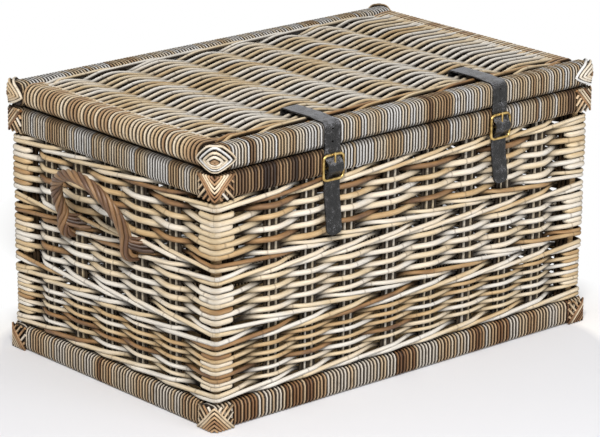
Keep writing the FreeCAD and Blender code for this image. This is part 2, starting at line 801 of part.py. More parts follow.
# Straps, buckles and chapes.

wire_half = size("buckle_wire") / 2
eye_radius = wire_half + size("bar_play") + size("chape_thickness")
bar_out = half_depth + seat_gap + eye_radius
bar_height = rim_bottom + size("buckle_rise")
strap_half = size("strap_thickness") / 2
strap_face = half_depth + seat_gap + strap_half
strap_over_bar = bar_out + eye_radius + seat_gap + strap_half
half_span = size("buckle_height") / 2 - wire_half


def strap_exit_place(edge):
    # The gap between two lid rods that is nearest to where the strap leaves the weave.
    pitch = 2 * edge / lid_rows
    wanted = size("strap_exit") - half_depth
    return -edge + pitch * round((wanted + edge) / pitch)


def make_strap(name, place, tail_drop, exit_place):
    middle = size(place) - half_length
    left_edge = middle - size("strap_width") / 2
    over_weave = lid_middle + swing(size("thick_rod")) + size("thick_rod") / 2
    over_weave += seat_gap + strap_half
    under_weave = 2 * lid_middle - over_weave
    over_rail = size("height") + seat_gap + strap_half
    inner_rail = -half_depth + size("rail_depth")
    clear = half_span - wire_half - size("strap_ease")
    slope = clear / 3
    tip = bar_height - size(tail_drop)
    bend = 2 * size("strap_thickness")
    route = [
        (exit_place + size("strap_tab"), under_weave, 0),
        (exit_place, under_weave, bend),
        (exit_place, over_weave, bend),
        (inner_rail, over_weave, 4 * bend),
        (inner_rail - size("rail_depth") / 2, over_rail, 4 * bend),
        (-strap_face, over_rail, 2 * bend),
        (-strap_face, bar_height + clear, bend),
        (-strap_over_bar, bar_height + slope, bend),
        (-strap_over_bar, bar_height - slope, bend),
        (-strap_face, bar_height - clear, bend),
        (-strap_face, bar_height - 2 * half_span, 4 * bend),
        (-strap_face - size("tail_standoff"), tip, 0),
    ]
    points = [Vector(left_edge, across, up) for across, up, radius in route]
    edges = rounded_path(points, [radius for across, up, radius in route][1:-1])
    half_width = size("strap_width") / 2
    strap = ribbon(edges, size("strap_thickness"), across_x * size("strap_width"))
    soft = size("tail_rounding")
    deep = 2 * strap_over_bar
    for hand in (-1, 1):
        edge = middle + hand * half_width
        square = Part.makeBox(soft, deep, soft, Vector(min(edge, edge - hand * soft), -deep, tip))
        pin = Part.makeCylinder(soft, deep, Vector(edge - hand * soft, -deep, tip + soft), across_y)
        strap = strap.cut(square.cut(pin))
    for step in (1, 2):
        punch = Vector(middle, -deep, bar_height + half_span + step * size("punch_spacing"))
        strap = strap.cut(pole(punch, across_y * deep, across_x, upward, size("punch_radius")))
    foot, head = prong_ends(middle)
    way = (head - foot).normalize()
    reach = bar_height + clear - foot.z
    slot = pole(foot, way * reach, across_x, across_x.cross(way),
                size("prong_radius") + 2 * seat_gap)
    strap = strap.cut(slot)
    add_shapes(name, strap.Solids)


def prong_ends(middle):
    # A prong's middle line: from its eye, over the top bar, to its tip.
    lean = bar_out + wire_half + size("prong_radius") + size("bar_play")
    foot = Vector(middle, -bar_out - wire_half - size("bar_play"), bar_height + wire_half)
    on_bar = Vector(middle, -lean, bar_height + half_span)
    way = (on_bar - foot).normalize()
    head = foot + way * (size("prong_reach") - wire_half)
    return foot, head


def make_prong(name, place):
    middle = size(place) - half_length
    eye_centre = Vector(middle - size("prong_width") / 2, -bar_out, bar_height)
    along = across_x * size("prong_width")
    eye = pole(eye_centre, along, across_y, upward, eye_radius)
    foot, head = prong_ends(middle)
    way = head - foot
    rise = way.cross(across_x).normalize()
    rings = [regular_ring(foot + way * share, across_x, rise, size("prong_radius") * thick, 8)
             for share, thick in ((0, 1), (1, 1 / 2))]
    bore = pole(eye_centre, along, across_y, upward, wire_half + size("bar_play"))
    pin = skin([ring[::-1] for ring in rings])
    add_shapes(name, eye.fuse(pin).cut(bore).Solids)


def make_frame(name, place):
    # A rounded rectangle of brass with a round centre bar across it.
    centre = Vector(size(place) - half_length, -bar_out, bar_height)
    faces = [flat_face([centre - across_y * wire_half + spot for spot in rounded_corners(inset)])
             for inset in (0, size("buckle_wire"))]
    ring = faces[0].cut(faces[1]).extrude(across_y * size("buckle_wire"))
    reach = across_x * (size("buckle_width") / 2 - wire_half)
    bar = Part.makeCylinder(wire_half, 2 * reach.Length, centre - reach, across_x)
    add_shapes(name, ring.fuse(bar).Solids)


def rounded_corners(inset):
    # A buckle's outline this far inside its edge, each corner rounded in four equal faces.
    radius = size("buckle_corner") - inset
    spots = []
    for turn_x, turn_z, first in ((1, 1, 0), (-1, 1, 90), (-1, -1, 180), (1, -1, 270)):
        x = turn_x * (size("buckle_width") / 2 - size("buckle_corner"))
        z = turn_z * (size("buckle_height") / 2 - size("buckle_corner"))
        for share in (0, 1 / 4, 1 / 2, 3 / 4, 1):
            angle = math.radians(first + 90 * share)
            spots.append(Vector(x + radius * math.cos(angle), 0, z + radius * math.sin(angle)))
    return spots


def make_chape(name, place):
    # A leather loop round the centre bar, slotted for the prong, its tail on the rim.
    middle = size(place) - half_length
    wide = size("chape_width")
    start = Vector(middle - wide / 2, -bar_out, bar_height)
    loop = pole(start, across_x * wide, across_y, upward, eye_radius)
    tail = Part.makeBox(wide, 2 * size("chape_thickness"), size("chape_tail"),
                        Vector(start.x, -half_depth - seat_gap - 2 * size("chape_thickness"),
                               bar_height - size("chape_tail")))
    chape = loop.fuse(tail)
    bore = pole(start, across_x * wide, across_y, upward, wire_half + size("bar_play"))
    chape = chape.cut(bore)
    slot = size("prong_width") + 2 * seat_gap
    room = eye_radius + seat_gap
    chape = chape.cut(Part.makeBox(slot, 2 * room, 2 * room,
                                   Vector(middle - slot / 2, -bar_out - room,
                                          bar_height - room)))
    add_shapes(name, chape.Solids)


# Leather hinges, nailed to both back rails. The fold lies level with the gap under the lid.

fold_height = (rim_top + lid_bottom) / 2


def nail_spots(hand, row):
    # Middles of the nails of one row of one hinge.
    middle = hand * size("hinge_spacing") / 2
    height = fold_height + row * size("nail_height")
    return [Vector(middle + turn * size("nail_spacing") / 2, half_depth, height)
            for turn in (-1, 1)]


def make_hinge(name, hand):
    out = half_depth + seat_gap
    start = Vector(hand * size("hinge_spacing") / 2 - size("hinge_width") / 2, out,
                   fold_height - size("hinge_reach"))
    leather = Part.makeBox(size("hinge_width"), size("hinge_thickness"), 2 * size("hinge_reach"),
                           start)
    for row in (-1, 1):
        for spot in nail_spots(hand, row):
            ring = regular_ring(spot, across_x, upward, size("nail_radius") + size("nail_play"), 8)
            leather = leather.cut(flat_face(ring).extrude(across_y * out))
    add_shapes(name, leather.Solids)


def make_nails(name, row):
    nails = []
    seat = size("hinge_thickness") + 2 * seat_gap
    for hand in (-1, 1):
        for spot in nail_spots(hand, row):
            head = spot + across_y * seat
            shank = head - across_y * size("nail_length")
            top = head + across_y * size("nail_head")
            rings = [
                regular_ring(centre, upward, across_x, radius, 8)
                for centre, radius in (
                    (shank, size("nail_radius")), (head, size("nail_radius")),
                    (head, size("nail_head_radius")), (top, size("nail_head_radius") / 2))
            ]
            nails.append(skin(rings))
    add_shapes(name, nails)


def make_leather_and_brass(edge):
    exit_place = strap_exit_place(edge)
    for hand in ("left", "right"):
        place = f"{hand}_strap_place"
        make_strap(f"{hand}_strap", place, f"{hand}_tail_drop", exit_place)
        make_frame(f"{hand}_buckle_frame", place)
        make_prong(f"{hand}_buckle_prong", place)
        make_chape(f"{hand}_buckle_chape", place)
    make_hinge("left_hinge_strap", -1)
    make_hinge("right_hinge_strap", 1)
    make_nails("hinge_nails_body", -1)
    make_nails("hinge_nails_lid", 1)


make_base()
make_rims()
make_posts()
make_walls()
for side, turn in (("left", -1), ("right", 1)):
    make_handle(f"{side}_handle", turn)
make_lashings("handle_lashings")
make_lid_frame()
make_leather_and_brass(make_lid_weave())
doc.recompute()

for feature in doc.Objects:
    if "Invalid" in feature.State or "Error" in feature.State:
        raise RuntimeError(f"{feature.Label} failed")
for feature in pieces:
    shape = feature.Shape
    if shape.isNull() or not shape.isValid():
        raise RuntimeError(f"{feature.Label} has no valid shape")
    shape.exportStep(f"parts/{feature.Label}.step")
print(len(pieces), "sub-parts written")
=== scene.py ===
import math
import random
from functools import partial
from types import SimpleNamespace

import bmesh
import bpy
from mathutils import Matrix, Vector
from mathutils.kdtree import KDTree


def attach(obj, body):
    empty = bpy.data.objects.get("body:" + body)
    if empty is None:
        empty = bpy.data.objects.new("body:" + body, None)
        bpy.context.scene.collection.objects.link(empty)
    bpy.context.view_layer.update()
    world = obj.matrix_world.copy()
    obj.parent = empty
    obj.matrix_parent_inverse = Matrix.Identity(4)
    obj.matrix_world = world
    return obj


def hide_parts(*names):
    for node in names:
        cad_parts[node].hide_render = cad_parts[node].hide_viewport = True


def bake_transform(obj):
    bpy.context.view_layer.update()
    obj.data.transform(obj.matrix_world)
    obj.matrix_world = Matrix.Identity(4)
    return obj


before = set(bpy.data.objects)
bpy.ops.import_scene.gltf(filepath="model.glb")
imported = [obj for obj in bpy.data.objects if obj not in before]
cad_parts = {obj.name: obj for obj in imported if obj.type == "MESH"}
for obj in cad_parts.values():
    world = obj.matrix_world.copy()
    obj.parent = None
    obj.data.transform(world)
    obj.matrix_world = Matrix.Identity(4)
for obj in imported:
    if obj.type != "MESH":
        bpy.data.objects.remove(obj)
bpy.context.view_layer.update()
dice = random.Random(41)
mm = 0.001  # lengths are in millimetres until they become a mesh


# Materials. Colours are sRGB hex.

def linear(hexColour):
    # sRGB hex to the linear colour that a socket takes.
    parts = [int(hexColour[i:i + 2], 16) / 255 for i in (1, 3, 5)]
    return [c / 12.92 if c <= 0.04045 else ((c + 0.055) / 1.055) ** 2.4 for c in parts] + [1]


def addNode(tree, kind, values=None):
    # Adds a node of this kind, or takes one that is there, and gives it its settings, the stops
    # of its ramp, the numbers of its sockets and what feeds them. Returns its outputs.
    node = tree.nodes.new("ShaderNode" + kind) if isinstance(kind, str) else kind
    for key, value in (values or {}).items():
        if isinstance(value, bpy.types.NodeSocket):
            tree.links.new(value, node.inputs[key])
        elif key == "stops":
            elements = node.color_ramp.elements
            while len(elements) < len(value):
                elements.new(0.5)
            for element, (place, colour) in zip(elements, value):
                element.position = place
                element.color = linear(colour)
        elif hasattr(node, str(key)):
            setattr(node, key, value)
        else:
            node.inputs[key].default_value = value
    return node.outputs


def newMaterial(name):
    material = bpy.data.materials.new(name)
    material.use_nodes = True
    material.node_tree.nodes.clear()
    shader = material.node_tree.nodes.new("ShaderNodeBsdfPrincipled")
    add = partial(addNode, material.node_tree)
    add("OutputMaterial", {"Surface": shader.outputs[0]})
    return material, add, shader


def caneMaterial(name, look):
    # Round cane, sun-bleached: long fibres, a node with a dark ring now and then, every rod
    # with a tone of its own, and painted shade deep in the weave and between the rods.
    material, add, shader = newMaterial(name)
    tone, deep = [add("Attribute", {"attribute_name": layer})["Fac"] for layer in ("tone", "deep")]
    uv = add("UVMap", {"uv_map": "UVMap"})[0]
    shift = add("CombineXYZ", {"X": tone, "Y": tone})[0]
    spread = add("VectorMath", {"operation": "MULTIPLY_ADD", 0: shift, 1: (7, 7, 7), 2: uv})[0]
    # Fibres run for 45 mm, patches of grey and brown for 48 mm.
    noises = []
    for long, wide, detail, rough in ((45, look["fibre"], 4.0, 0.6), (48, 14, 2.0, 0.5)):
        stretch = add("Mapping", {"Scale": (1000 / long, 1000 / wide, 1), "Vector": spread})[0]
        noises.append(add("TexNoise", {"Scale": 1.0, "Detail": detail, "Roughness": rough,
                                       "Vector": stretch})[0])
    fibre, patch = noises
    base = add("Math", {"operation": "MULTIPLY_ADD", 0: patch, 1: look["patch"], 2: tone})[0]
    base = add("Math", {"operation": "SUBTRACT", 0: base, 1: look["patch"] / 2})[0]
    colour = add("ValToRGB", {"stops": look["stops"], 0: base})[0]
    streak = add("MapRange", {"From Min": 0.3, "From Max": 0.7, "To Min": look["streak"],
                              "To Max": 1.12, "Value": fibre})[0]
    colour = add("Mix", {"data_type": "RGBA", "blend_type": "MULTIPLY", 0: 1.0, 6: colour,
                         7: streak})[2]
    # A node every 70 to 130 mm: a thin dark ring.
    apart = add("Mapping", {"Scale": (1000 / 95, 0, 0), "Vector": spread})[0]
    ring = add("TexVoronoi", {"voronoi_dimensions": "1D", "feature": "DISTANCE_TO_EDGE",
                              "Scale": 1.0, "Randomness": 0.8,
                              "W": add("SeparateXYZ", {0: apart})[0]})["Distance"]
    dark = add("MapRange", {"From Min": 0.002, "From Max": 0.022, "To Min": look["ring"],
                            "To Max": 0.0, "Value": ring})[0]
    # Then the painted shade, in its own dark colour, by the 'deep' attribute.
    for share, darkening in ((dark, "#3b2818"), (deep, look["darkening"])):
        colour = add("Mix", {"data_type": "RGBA", 0: share, 6: colour, 7: linear(darkening)})[2]
    # Where the painted shade lies the rod is rougher and shines less.
    rough = add("MapRange", {"To Min": look["rough"] - 0.08, "To Max": look["rough"] + 0.12,
                             "Value": fibre})[0]
    rough = add("Math", {"operation": "MULTIPLY_ADD", 0: deep, 1: 0.4, 2: rough})[0]
    sheen = add("MapRange", {"Value": deep, "To Min": 0.5, "To Max": 0.08})[0]
    height = add("Math", {"operation": "MULTIPLY_ADD", 0: dark, 1: -0.8, 2: fibre})[0]
    bump = add("Bump", {"Strength": 0.55, "Distance": 0.0006, "Height": height})[0]
    add(shader, {"Base Color": colour, "Roughness": rough, "IOR": 1.5,
                 "Specular IOR Level": sheen, "Normal": bump})
    return material


def woodMaterial(name, stops, grain):
    # Planed wood: rings drawn out along its length, with pores, matt.
    material, add, shader = newMaterial(name)
    stretch = add("Mapping", {"Scale": (1000 / (grain * 30), 1000 / grain, 1000 / grain),
                              "Vector": add("TexCoord")["Object"]})[0]
    wave = add("TexNoise", {"Scale": 1.0, "Detail": 6.0, "Distortion": 0.6, "Vector": stretch})[0]
    colour = add("ValToRGB", {"stops": stops, 0: wave})[0]
    bump = add("Bump", {"Strength": 0.4, "Distance": 0.0004, "Height": wave})[0]
    add(shader, {"Base Color": colour, "Roughness": 0.7, "Normal": bump})
    return material


def leatherMaterial(name):
    # Bridle leather, dyed black and waxed: a fine pebble grain, a satin coat, creases, and
    # grey patches of painted sheen, lighter on the faces that look up as a painted highlight.
    material, add, shader = newMaterial(name)
    coordinates = add("TexCoord")
    place = coordinates["Object"]
    # Soft dents 9 mm wide, patches of painted sheen 12 mm wide, and a grain drawn at 1.4 mm,
    # twice its real size, so that it shows.
    swell = add("TexNoise", {"Scale": 1000 / 9, "Detail": 2.0, "Vector": place})[0]
    patches = add("TexNoise", {"Scale": 1000 / 12, "Detail": 5.0, "Vector": place})[0]
    grain = add("TexVoronoi", {"Scale": 1000 / 1.4, "Vector": place})["Distance"]
    # A painted highlight: the faces that look up are painted lighter.
    paintedTopHighlight = add("SeparateXYZ", {0: coordinates["Normal"]})[2]
    paintedTopHighlight = add("MapRange", {"From Min": 0.2, "To Min": -0.08, "To Max": 0.22,
                              "Value": paintedTopHighlight})[0]
    # The grain, the painted sheen and the painted highlight, together.
    grainAndPaintedSheen = add("Math", {"operation": "MULTIPLY_ADD", 0: grain, 1: 0.6, 2: patches})[0]
    grainAndPaintedSheen = add("Math", {"operation": "ADD", 0: grainAndPaintedSheen, 1: paintedTopHighlight})[0]
    colour = add("ValToRGB", {
        "stops": [(0.45, "#040404"), (0.62, "#0a0a0a"), (0.78, "#131212"), (0.92, "#343333"),
                  (1.0, "#606165")], 0: grainAndPaintedSheen})[0]
    rough = add("MapRange", {"Value": patches, "To Min": 0.2, "To Max": 0.5})[0]
    height = add("Math", {"operation": "MULTIPLY_ADD", 0: swell, 1: 4.0, 2: grain})[0]
    bump = add("Bump", {"Strength": 0.7, "Distance": 0.0005, "Height": height})[0]
    add(shader, {"Base Color": colour, "Roughness": rough, "IOR": 1.5,
                 "Specular IOR Level": 0.36, "Normal": bump})
    return material


def brassMaterial(name):
    # Cast brass, polished and a little tarnished: warm and glossy, duller in patches.
    material, add, shader = newMaterial(name)
    tarnish = add("TexNoise", {"Scale": 1000 / 9, "Detail": 4.0,
                               "Vector": add("TexCoord")["Object"]})[0]
    colour = add("ValToRGB", {
        "stops": [(0.35, "#8f7444"), (0.55, "#c9ab6a"), (0.7, "#dcc083")], 0: tarnish})[0]
    rough = add("MapRange", {"Value": tarnish, "To Min": 0.42, "To Max": 0.2})[0]
    add(shader, {"Base Color": colour, "Roughness": rough, "Metallic": 1})
    return material


# Each look names a dark colour for its painted shade.
peel = {"fibre": 0.7, "patch": 0.35, "streak": 0.66, "ring": 0.3, "rough": 0.45,
        "darkening": "#1a110b"}
caneLooks = {
    "paleCane": {"stops": [(0.0, "#5f432b"), (0.18, "#957148"), (0.4, "#bc9f74"),
                           (0.62, "#cfbc9a"), (0.82, "#dbceb8"), (1.0, "#dad5cb")],
                 "fibre": 0.9, "patch": 0.6, "streak": 0.66, "ring": 0.42, "rough": 0.5,
                 "darkening": "#1c120b"},
    "boundPeel": {**peel, "streak": 0.7, "rough": 0.42, "stops": [
        (0.0, "#382b22"), (0.2, "#72573d"), (0.4, "#a58560"), (0.6, "#c8b08c"),
        (0.8, "#d9ccb6"), (1.0, "#dcdbd8")]},
    "brownPeel": {**peel, "stops": [
        (0.0, "#30221a"), (0.2, "#624229"), (0.42, "#936a43"), (0.62, "#c4a37b"),
        (0.82, "#dac5a5"), (1.0, "#ddd4c6")]},
    "ropeCane": {**peel, "fibre": 0.8, "patch": 0.5, "streak": 0.65, "darkening": "#160d08",
                 "stops": [(0.0, "#2b1c13"), (0.3, "#573c29"), (0.6, "#80603f"),
                           (0.85, "#ab8d69"), (1.0, "#c6b496")]}}
finishes = {name: caneMaterial(name, look) for name, look in caneLooks.items()}
for finish, name, dark, light, grain in (
        ("softwood", "sawnSoftwood", "#a07a4e", "#c9a878", 3),
        ("stainedWood", "stainedBatten", "#1d140d", "#33241a", 3),
        ("plywood", "birchPlywood", "#b8935f", "#d6bb8b", 5)):
    finishes[finish] = woodMaterial(name, [(0.3, dark), (0.7, light)], grain)
finishes["leather"] = leatherMaterial("waxedBlackLeather")
finishes["brass"] = brassMaterial("polishedBrass")
print("materials made")


# Rods: each is a curve of its own, so that it keeps its tone and its real length in its UV map.

def makeRods(name, rods, finish, slot, body, *nodes, rounds=3):
    # A rod is its points, its radius or one for each point, its tone, its painted shade and
    # darkening as a number or as a function of place and normal, and True if it is a closed ring.
    line = bpy.data.curves.new(name + "Line", "CURVE")
    line.dimensions = "3D"
    line.bevel_depth = 1
    line.bevel_resolution = rounds
    line.use_fill_caps = True
    carrier = bpy.data.objects.new(name + "Line", line)
    bundle = bmesh.new()
    for route, radius, tone, deep, *closed in rods:
        points = [[c * mm for c in point] for point in route]
        radii = radius if isinstance(radius, list) else [radius] * len(points)
        radii = [r * mm for r in radii]
        line.splines.clear()
        spline = line.splines.new("POLY")
        spline.points.add(len(points) - 1)
        spline.points.foreach_set("co", [c for point in points for c in (*point, 1)])
        spline.points.foreach_set("radius", radii)
        spline.use_cyclic_u = bool(closed)
        mesh = bpy.data.meshes.new_from_object(carrier)
        length = sum(math.dist(a, b) for a, b in zip(points, points[1:]))
        for corner in mesh.uv_layers[0].data:
            corner.uv = (corner.uv[0] * length, corner.uv[1] * 2 * math.pi * radii[0])
        # How dark each point is painted, mostly painted shade, for the 'deep' attribute.
        darkShares = [deep(v.co / mm, v.normal) if callable(deep) else deep for v in mesh.vertices]
        for layer, domain, values in (("tone", "FACE", [tone] * len(mesh.polygons)),
                                      ("deep", "POINT", darkShares)):
            mesh.attributes.new(layer, "FLOAT", domain).data.foreach_set("value", values)
        bundle.from_mesh(mesh)
        bpy.data.meshes.remove(mesh)
    bpy.data.objects.remove(carrier)
    finishPiece(name, bundle, finish, slot, body, *nodes)


def linkObject(name, data):
    # An object in the scene from a lamp, a camera or a bmesh.
    if isinstance(data, bmesh.types.BMesh):
        bundle, data = data, bpy.data.meshes.new(name)
        bundle.to_mesh(data)
        bundle.free()
    linked = bpy.data.objects.new(name, data)
    bpy.context.scene.collection.objects.link(linked)
    return linked


def finishPiece(name, bundle, finish, slot, body, *nodes):
    piece = linkObject(name, bundle)
    piece.data.shade_smooth()
    piece.data.materials.append(finishes[finish])
    if body:
        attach(piece, body)
    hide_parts(*nodes)
    return piece


def jitter(reach):
    return dice.uniform(-reach, reach)


def pickTone(shares, lot=dice, spread=0.07):
    # A tone by its share: [(tone, share), ...].
    return (lot.choices([t for t, s in shares], [s for t, s in shares])[0]
            + lot.uniform(-spread, spread))


def ramp(value, low, high):
    return min(max((value - low) / (high - low), 0), 1)


def arc(x, y, radius, angles):
    return [(x + radius * math.cos(math.radians(a)), y + radius * math.sin(math.radians(a)))
            for a in angles]


# The chest's four walls, anticlockwise from the front. A wall's corner is where it begins, and
# its station is the count of stakes before it.

chest = {"length": 800, "depth": 510, "rail": 34, "seam": 405,
         "frontStakes": [124, 197.6, 277.6, 367.2, 450.4, 535.2, 615.2, 692.8],
         "sideStakes": [111.2, 192.8, 268.3, 342.7, 418.2]}
halfLength, halfDepth = chest["length"] / 2, chest["depth"] / 2
walls = {}
for wall, before, pole, (x, y), station in (("front", "left", "front_left", (1, 0), -1),
                                            ("right", "front", "front_right", (0, 1), 8),
                                            ("back", "right", "back_right", (-1, 0), 14),
                                            ("left", "back", "back_left", (0, -1), 23)):
    reach = chest["length"] if x else chest["depth"]
    stakes = chest["frontStakes"] if x else chest["sideStakes"]
    if wall in ("back", "left"):
        stakes = [reach - place for place in reversed(stakes)]
    corner = Vector((halfLength * (y - x), -halfDepth * (x + y), 0))
    walls[wall] = SimpleNamespace(corner=corner, run=Vector((x, y, 0)), reach=reach,
                                  outward=Vector((y, -x, 0)), stakes=stakes, station=station,
                                  before=before, pole=pole)


def wallPoint(wall, along, inset, up):
    at = walls[wall]
    return at.corner + at.run * along - at.outward * inset + Vector((0, 0, up))


# How dark a rod is painted: painted shade deep in the weave, on the side it turns to a
# neighbour, where rim and lid meet and underneath, and darker towards the upright edges.
paintedShadeAndEdge = {"deep": 0.97, "side": 0.95, "seam": 0.85, "under": 0.5, "edge": 0.35}


def shadeByDepth(outside, inside, facing):
    # Painted shade by how far a point lies behind the face that it looks out of.
    share = ramp(facing, -0.35, 0.35)
    return paintedShadeAndEdge["deep"] * (outside * share + inside * (1 - share))


def wallDeep(wall):
    # How dark a point is painted: painted shade by its depth and a little under each rod, and
    # darker towards the upright edges.
    at = walls[wall]

    def deep(place, normal):
        inset = (at.corner - place).dot(at.outward)
        toEdge = max(halfLength - abs(place[0]), halfDepth - abs(place[1]))
        return max(shadeByDepth(ramp(inset, 8.5, 16), ramp(27 - inset, 8.5, 16),
                           normal.dot(at.outward)),
                   paintedShadeAndEdge["under"] * ramp(-normal[2], 0.1, 0.95),
                   paintedShadeAndEdge["edge"] * (1 - ramp(toEdge, 7, 19)))
    return deep


def shadeButRidge(outward):
    # Painted shade all over but for the ridge that faces out, which stays pale as if lit.
    return lambda place, normal: paintedShadeAndEdge["deep"] * (1 - ramp(abs(normal.dot(outward)), 0.72, 1))


# A rod runs "over" plus its own radius from the middle of its wall, round the corners at
# radius "corner", and straight for the last bit up to "straight".
weave = {"middle": 14.3, "over": 4.1, "corner": 8.5, "straight": 30, "pole": 21,
         "poleReach": 9.3, "insideFrom": 44, "insideBy": 4, "steps": 9, "stray": 0.6,
         "wobble": 0.8, "thick": (0.92, 1.06), "swell": 0.05, "stations": 30, "soft": 0.2,
         "tones": [(0.14, 2), (0.34, 2), (0.52, 3), (0.7, 5), (0.88, 6), (1.04, 3)]}


def easeOver(share):
    # A rod bends over a stake and runs straight across the wall to the next.
    soft = weave["soft"]
    if share > 0.5:
        return 1 - easeOver(1 - share)
    if share < soft:
        return share ** 2 / (2 * soft * (1 - soft))
    return (share - soft / 2) / (1 - soft)


def wovenRods(wall, outer, swing, radius, lift, swell, seed):
    # One rod along a wall: outside or inside at every stake, round the corner pole outside, or
    # behind it inside. Where it lies inside the next one takes over, so that a tone turns each
    # corner.
    first, reach, last = walls[wall].station, walls[wall].reach, len(outer) - 1
    face = weave["middle"] - swing
    turn, behind = face + weave["corner"], weave["poleReach"] + radius
    keys = []
    for index, along in enumerate([0, *walls[wall].stakes, reach]):
        if index in (0, last):
            along = turn if outer[index] else weave["insideFrom"]
            along = reach - along if index else along
            inset = face if outer[index] else weave["middle"] + swing + weave["insideBy"]
        else:
            inset = weave["middle"] + (-swing if outer[index] else swing)
            inset += jitter(weave["stray"])
        keys.append((along, inset, index))

    def bend(isOuter):
        if isOuter:
            return arc(turn, turn, -weave["corner"], (45, 47, 60, 75, 88))
        return [(weave["pole"] + behind * math.sin(math.radians(a)),) * 2 for a in (45, 70)]
    spots = [(along, inset, 0) for along, inset in bend(outer[0])]
    for (a, insetA, i), (b, insetB, j) in zip(keys, keys[1:]):
        straight = (weave["straight"] - turn) / (b - a)
        before = straight if i == 0 and outer[0] else 0
        after = straight if j == last and outer[-1] else 0
        for step in range(weave["steps"]):
            share = step / weave["steps"]
            level = min(max(share - before, 0) / (1 - before - after), 1)
            spots.append((a + (b - a) * share, insetA + (insetB - insetA) * easeOver(level),
                          i + share))
    spots.append(keys[-1])
    spots += [(reach - along, inset, last) for along, inset in reversed(bend(outer[-1]))]
    points = [wallPoint(wall, along, inset, lift(first + at)) for along, inset, at in spots]
    radii = [radius * (1 + swell(first + at)) for along, inset, at in spots]
    inner = [index for index in range(1, last) if not outer[index]]
    change = random.Random(seed * 40 + first).choice(inner)
    cut = [at for along, inset, at in spots].index(change)
    rods = []
    for station, part in ((first, slice(cut + 1)), (first + last, slice(cut, None))):
        lot = random.Random(seed * 57 + station % weave["stations"])
        tone = pickTone(weave["tones"], lot, 0.08)
        rods.append((points[part], radii[part], tone, wallDeep(wall)))
    return rods


bands = {"lower": {"low": 62.3, "high": 125, "rows": 10, "radius": 3.25},
         "middle": {"low": 167, "high": 226.1, "rows": 7, "radius": 4.3},
         "upper": {"low": 268.1, "high": 340.7, "rows": 8, "radius": 4.55}}
bandRows = [(band["low"] + (band["high"] - band["low"]) * (row + 0.5) / band["rows"],
             band["radius"]) for band in bands.values() for row in range(band["rows"])]


def wander(reach, seed):
    # A slow rise and fall along a rod, which meets itself after a turn round the chest.
    lot = random.Random(seed)
    slow, fast = lot.uniform(0, 6.28), lot.uniform(0, 6.28)
    step = 2 * math.pi / weave["stations"]
    return lambda at: reach * (math.sin(at * step * 6 + slow)
                               + 0.6 * math.sin(at * step * 13 + fast))


def randing(wall):
    first, count = walls[wall].station, len(walls[wall].stakes) + 2
    rods = []
    for row, (level, radius) in enumerate(bandRows):
        outer = [(first + index + row) % 2 == 0 for index in range(count)]
        thick = radius * random.Random(row + 3).uniform(*weave["thick"])
        wave = wander(weave["wobble"] * radius / 4, row)
        rods += wovenRods(wall, outer, weave["over"] + radius, thick,
                          lambda at: level + wave(at), wander(weave["swell"], row + 200),
                          row)
    return rods


# The bands of waling: the height of each, and whether it slopes up or down.
waling = {"radius": 3.4, "rise": 7.4, "swing": 8.6, "wobble": 0.35, "thick": (0.97, 1.12),
          "bands": [(51.8, 1), (351.2, 1), (156.4, -1), (135.6, 1), (257.5, -1), (236.7, 1)]}


def climb(phase):
    # A rod of the waling climbs in front of two stakes and drops back behind the third.
    if 0.4 <= phase <= 2.6:
        return (phase - 1.5) / 1.1
    return (3 - phase) / 0.4 if phase > 2.6 else -phase / 0.4


def wales(wall):
    # Three rods to a band, each a stake further on than the one before.
    first, count = walls[wall].station, len(walls[wall].stakes) + 2
    rods = []
    for level, slope in waling["bands"]:
        for third in range(3):
            outer = [(first + index + third) % 3 > 0 for index in range(count)]
            seed = 300 + third + int(level)
            wave = wander(waling["wobble"], seed)
            thick = waling["radius"] * random.Random(seed).uniform(*waling["thick"])
            rise = slope * waling["rise"]
            rods += wovenRods(wall, outer, waling["swing"], thick,
                              lambda at: level + rise * climb((at + third) % 3) + wave(at),
                              lambda at: 0, seed)
    return rods


# Between and beside each pair of stakes, and in the corners, stand dark fillers: rods put where
# the weave shows shade, coloured as painted shade.
stake = {"low": 41.5, "high": 361.5, "pair": 7,
         "row": [(-7, 3.6), (7, 3.6), (0, 3.9), (-13.6, 2.4), (13.6, 2.4)],
         "corner": [(32.5, 16, 3.8), (42, 17.5, 3.2), (50, 18.2, 2.6)],
         "lidRow": [(-7, 3.5), (7, 3.5), (0, 3.7)]}


def stakeRods(wall):
    at, low, high = walls[wall], stake["low"], stake["high"]
    # The corner fillers are painted shade all over.
    rods = [([wallPoint(wall, along, inset, low), wallPoint(wall, along, inset, high)],
             radius, 0.3, paintedShadeAndEdge["side"])
            for place, inset, radius in stake["corner"] for along in (place, at.reach - place)]
    for place in at.stakes:
        for hand, radius in stake["row"]:
            lean, bow = jitter(1.0), jitter(0.5)
            points = [wallPoint(wall, place + hand + lean * (i / 6 - 0.5) + bow * math.sin(i),
                                weave["middle"] + 0.3 * math.sin(i * 2),
                                low + (high - low) * i / 6) for i in range(7)]
            # The pair are painted shade but for their outward ridge; the fillers between and
            # beside them are painted shade all over.
            rods.append((points, radius, 0.8 + jitter(0.15),
                         shadeButRidge(at.outward) if abs(hand) == stake["pair"] else paintedShadeAndEdge["side"]))
    return rods


loops = {"reach": 41, "tuck": 9, "thick": 1.04, "tones": [(0.2, 1), (0.4, 2), (0.6, 3), (0.85, 5)]}


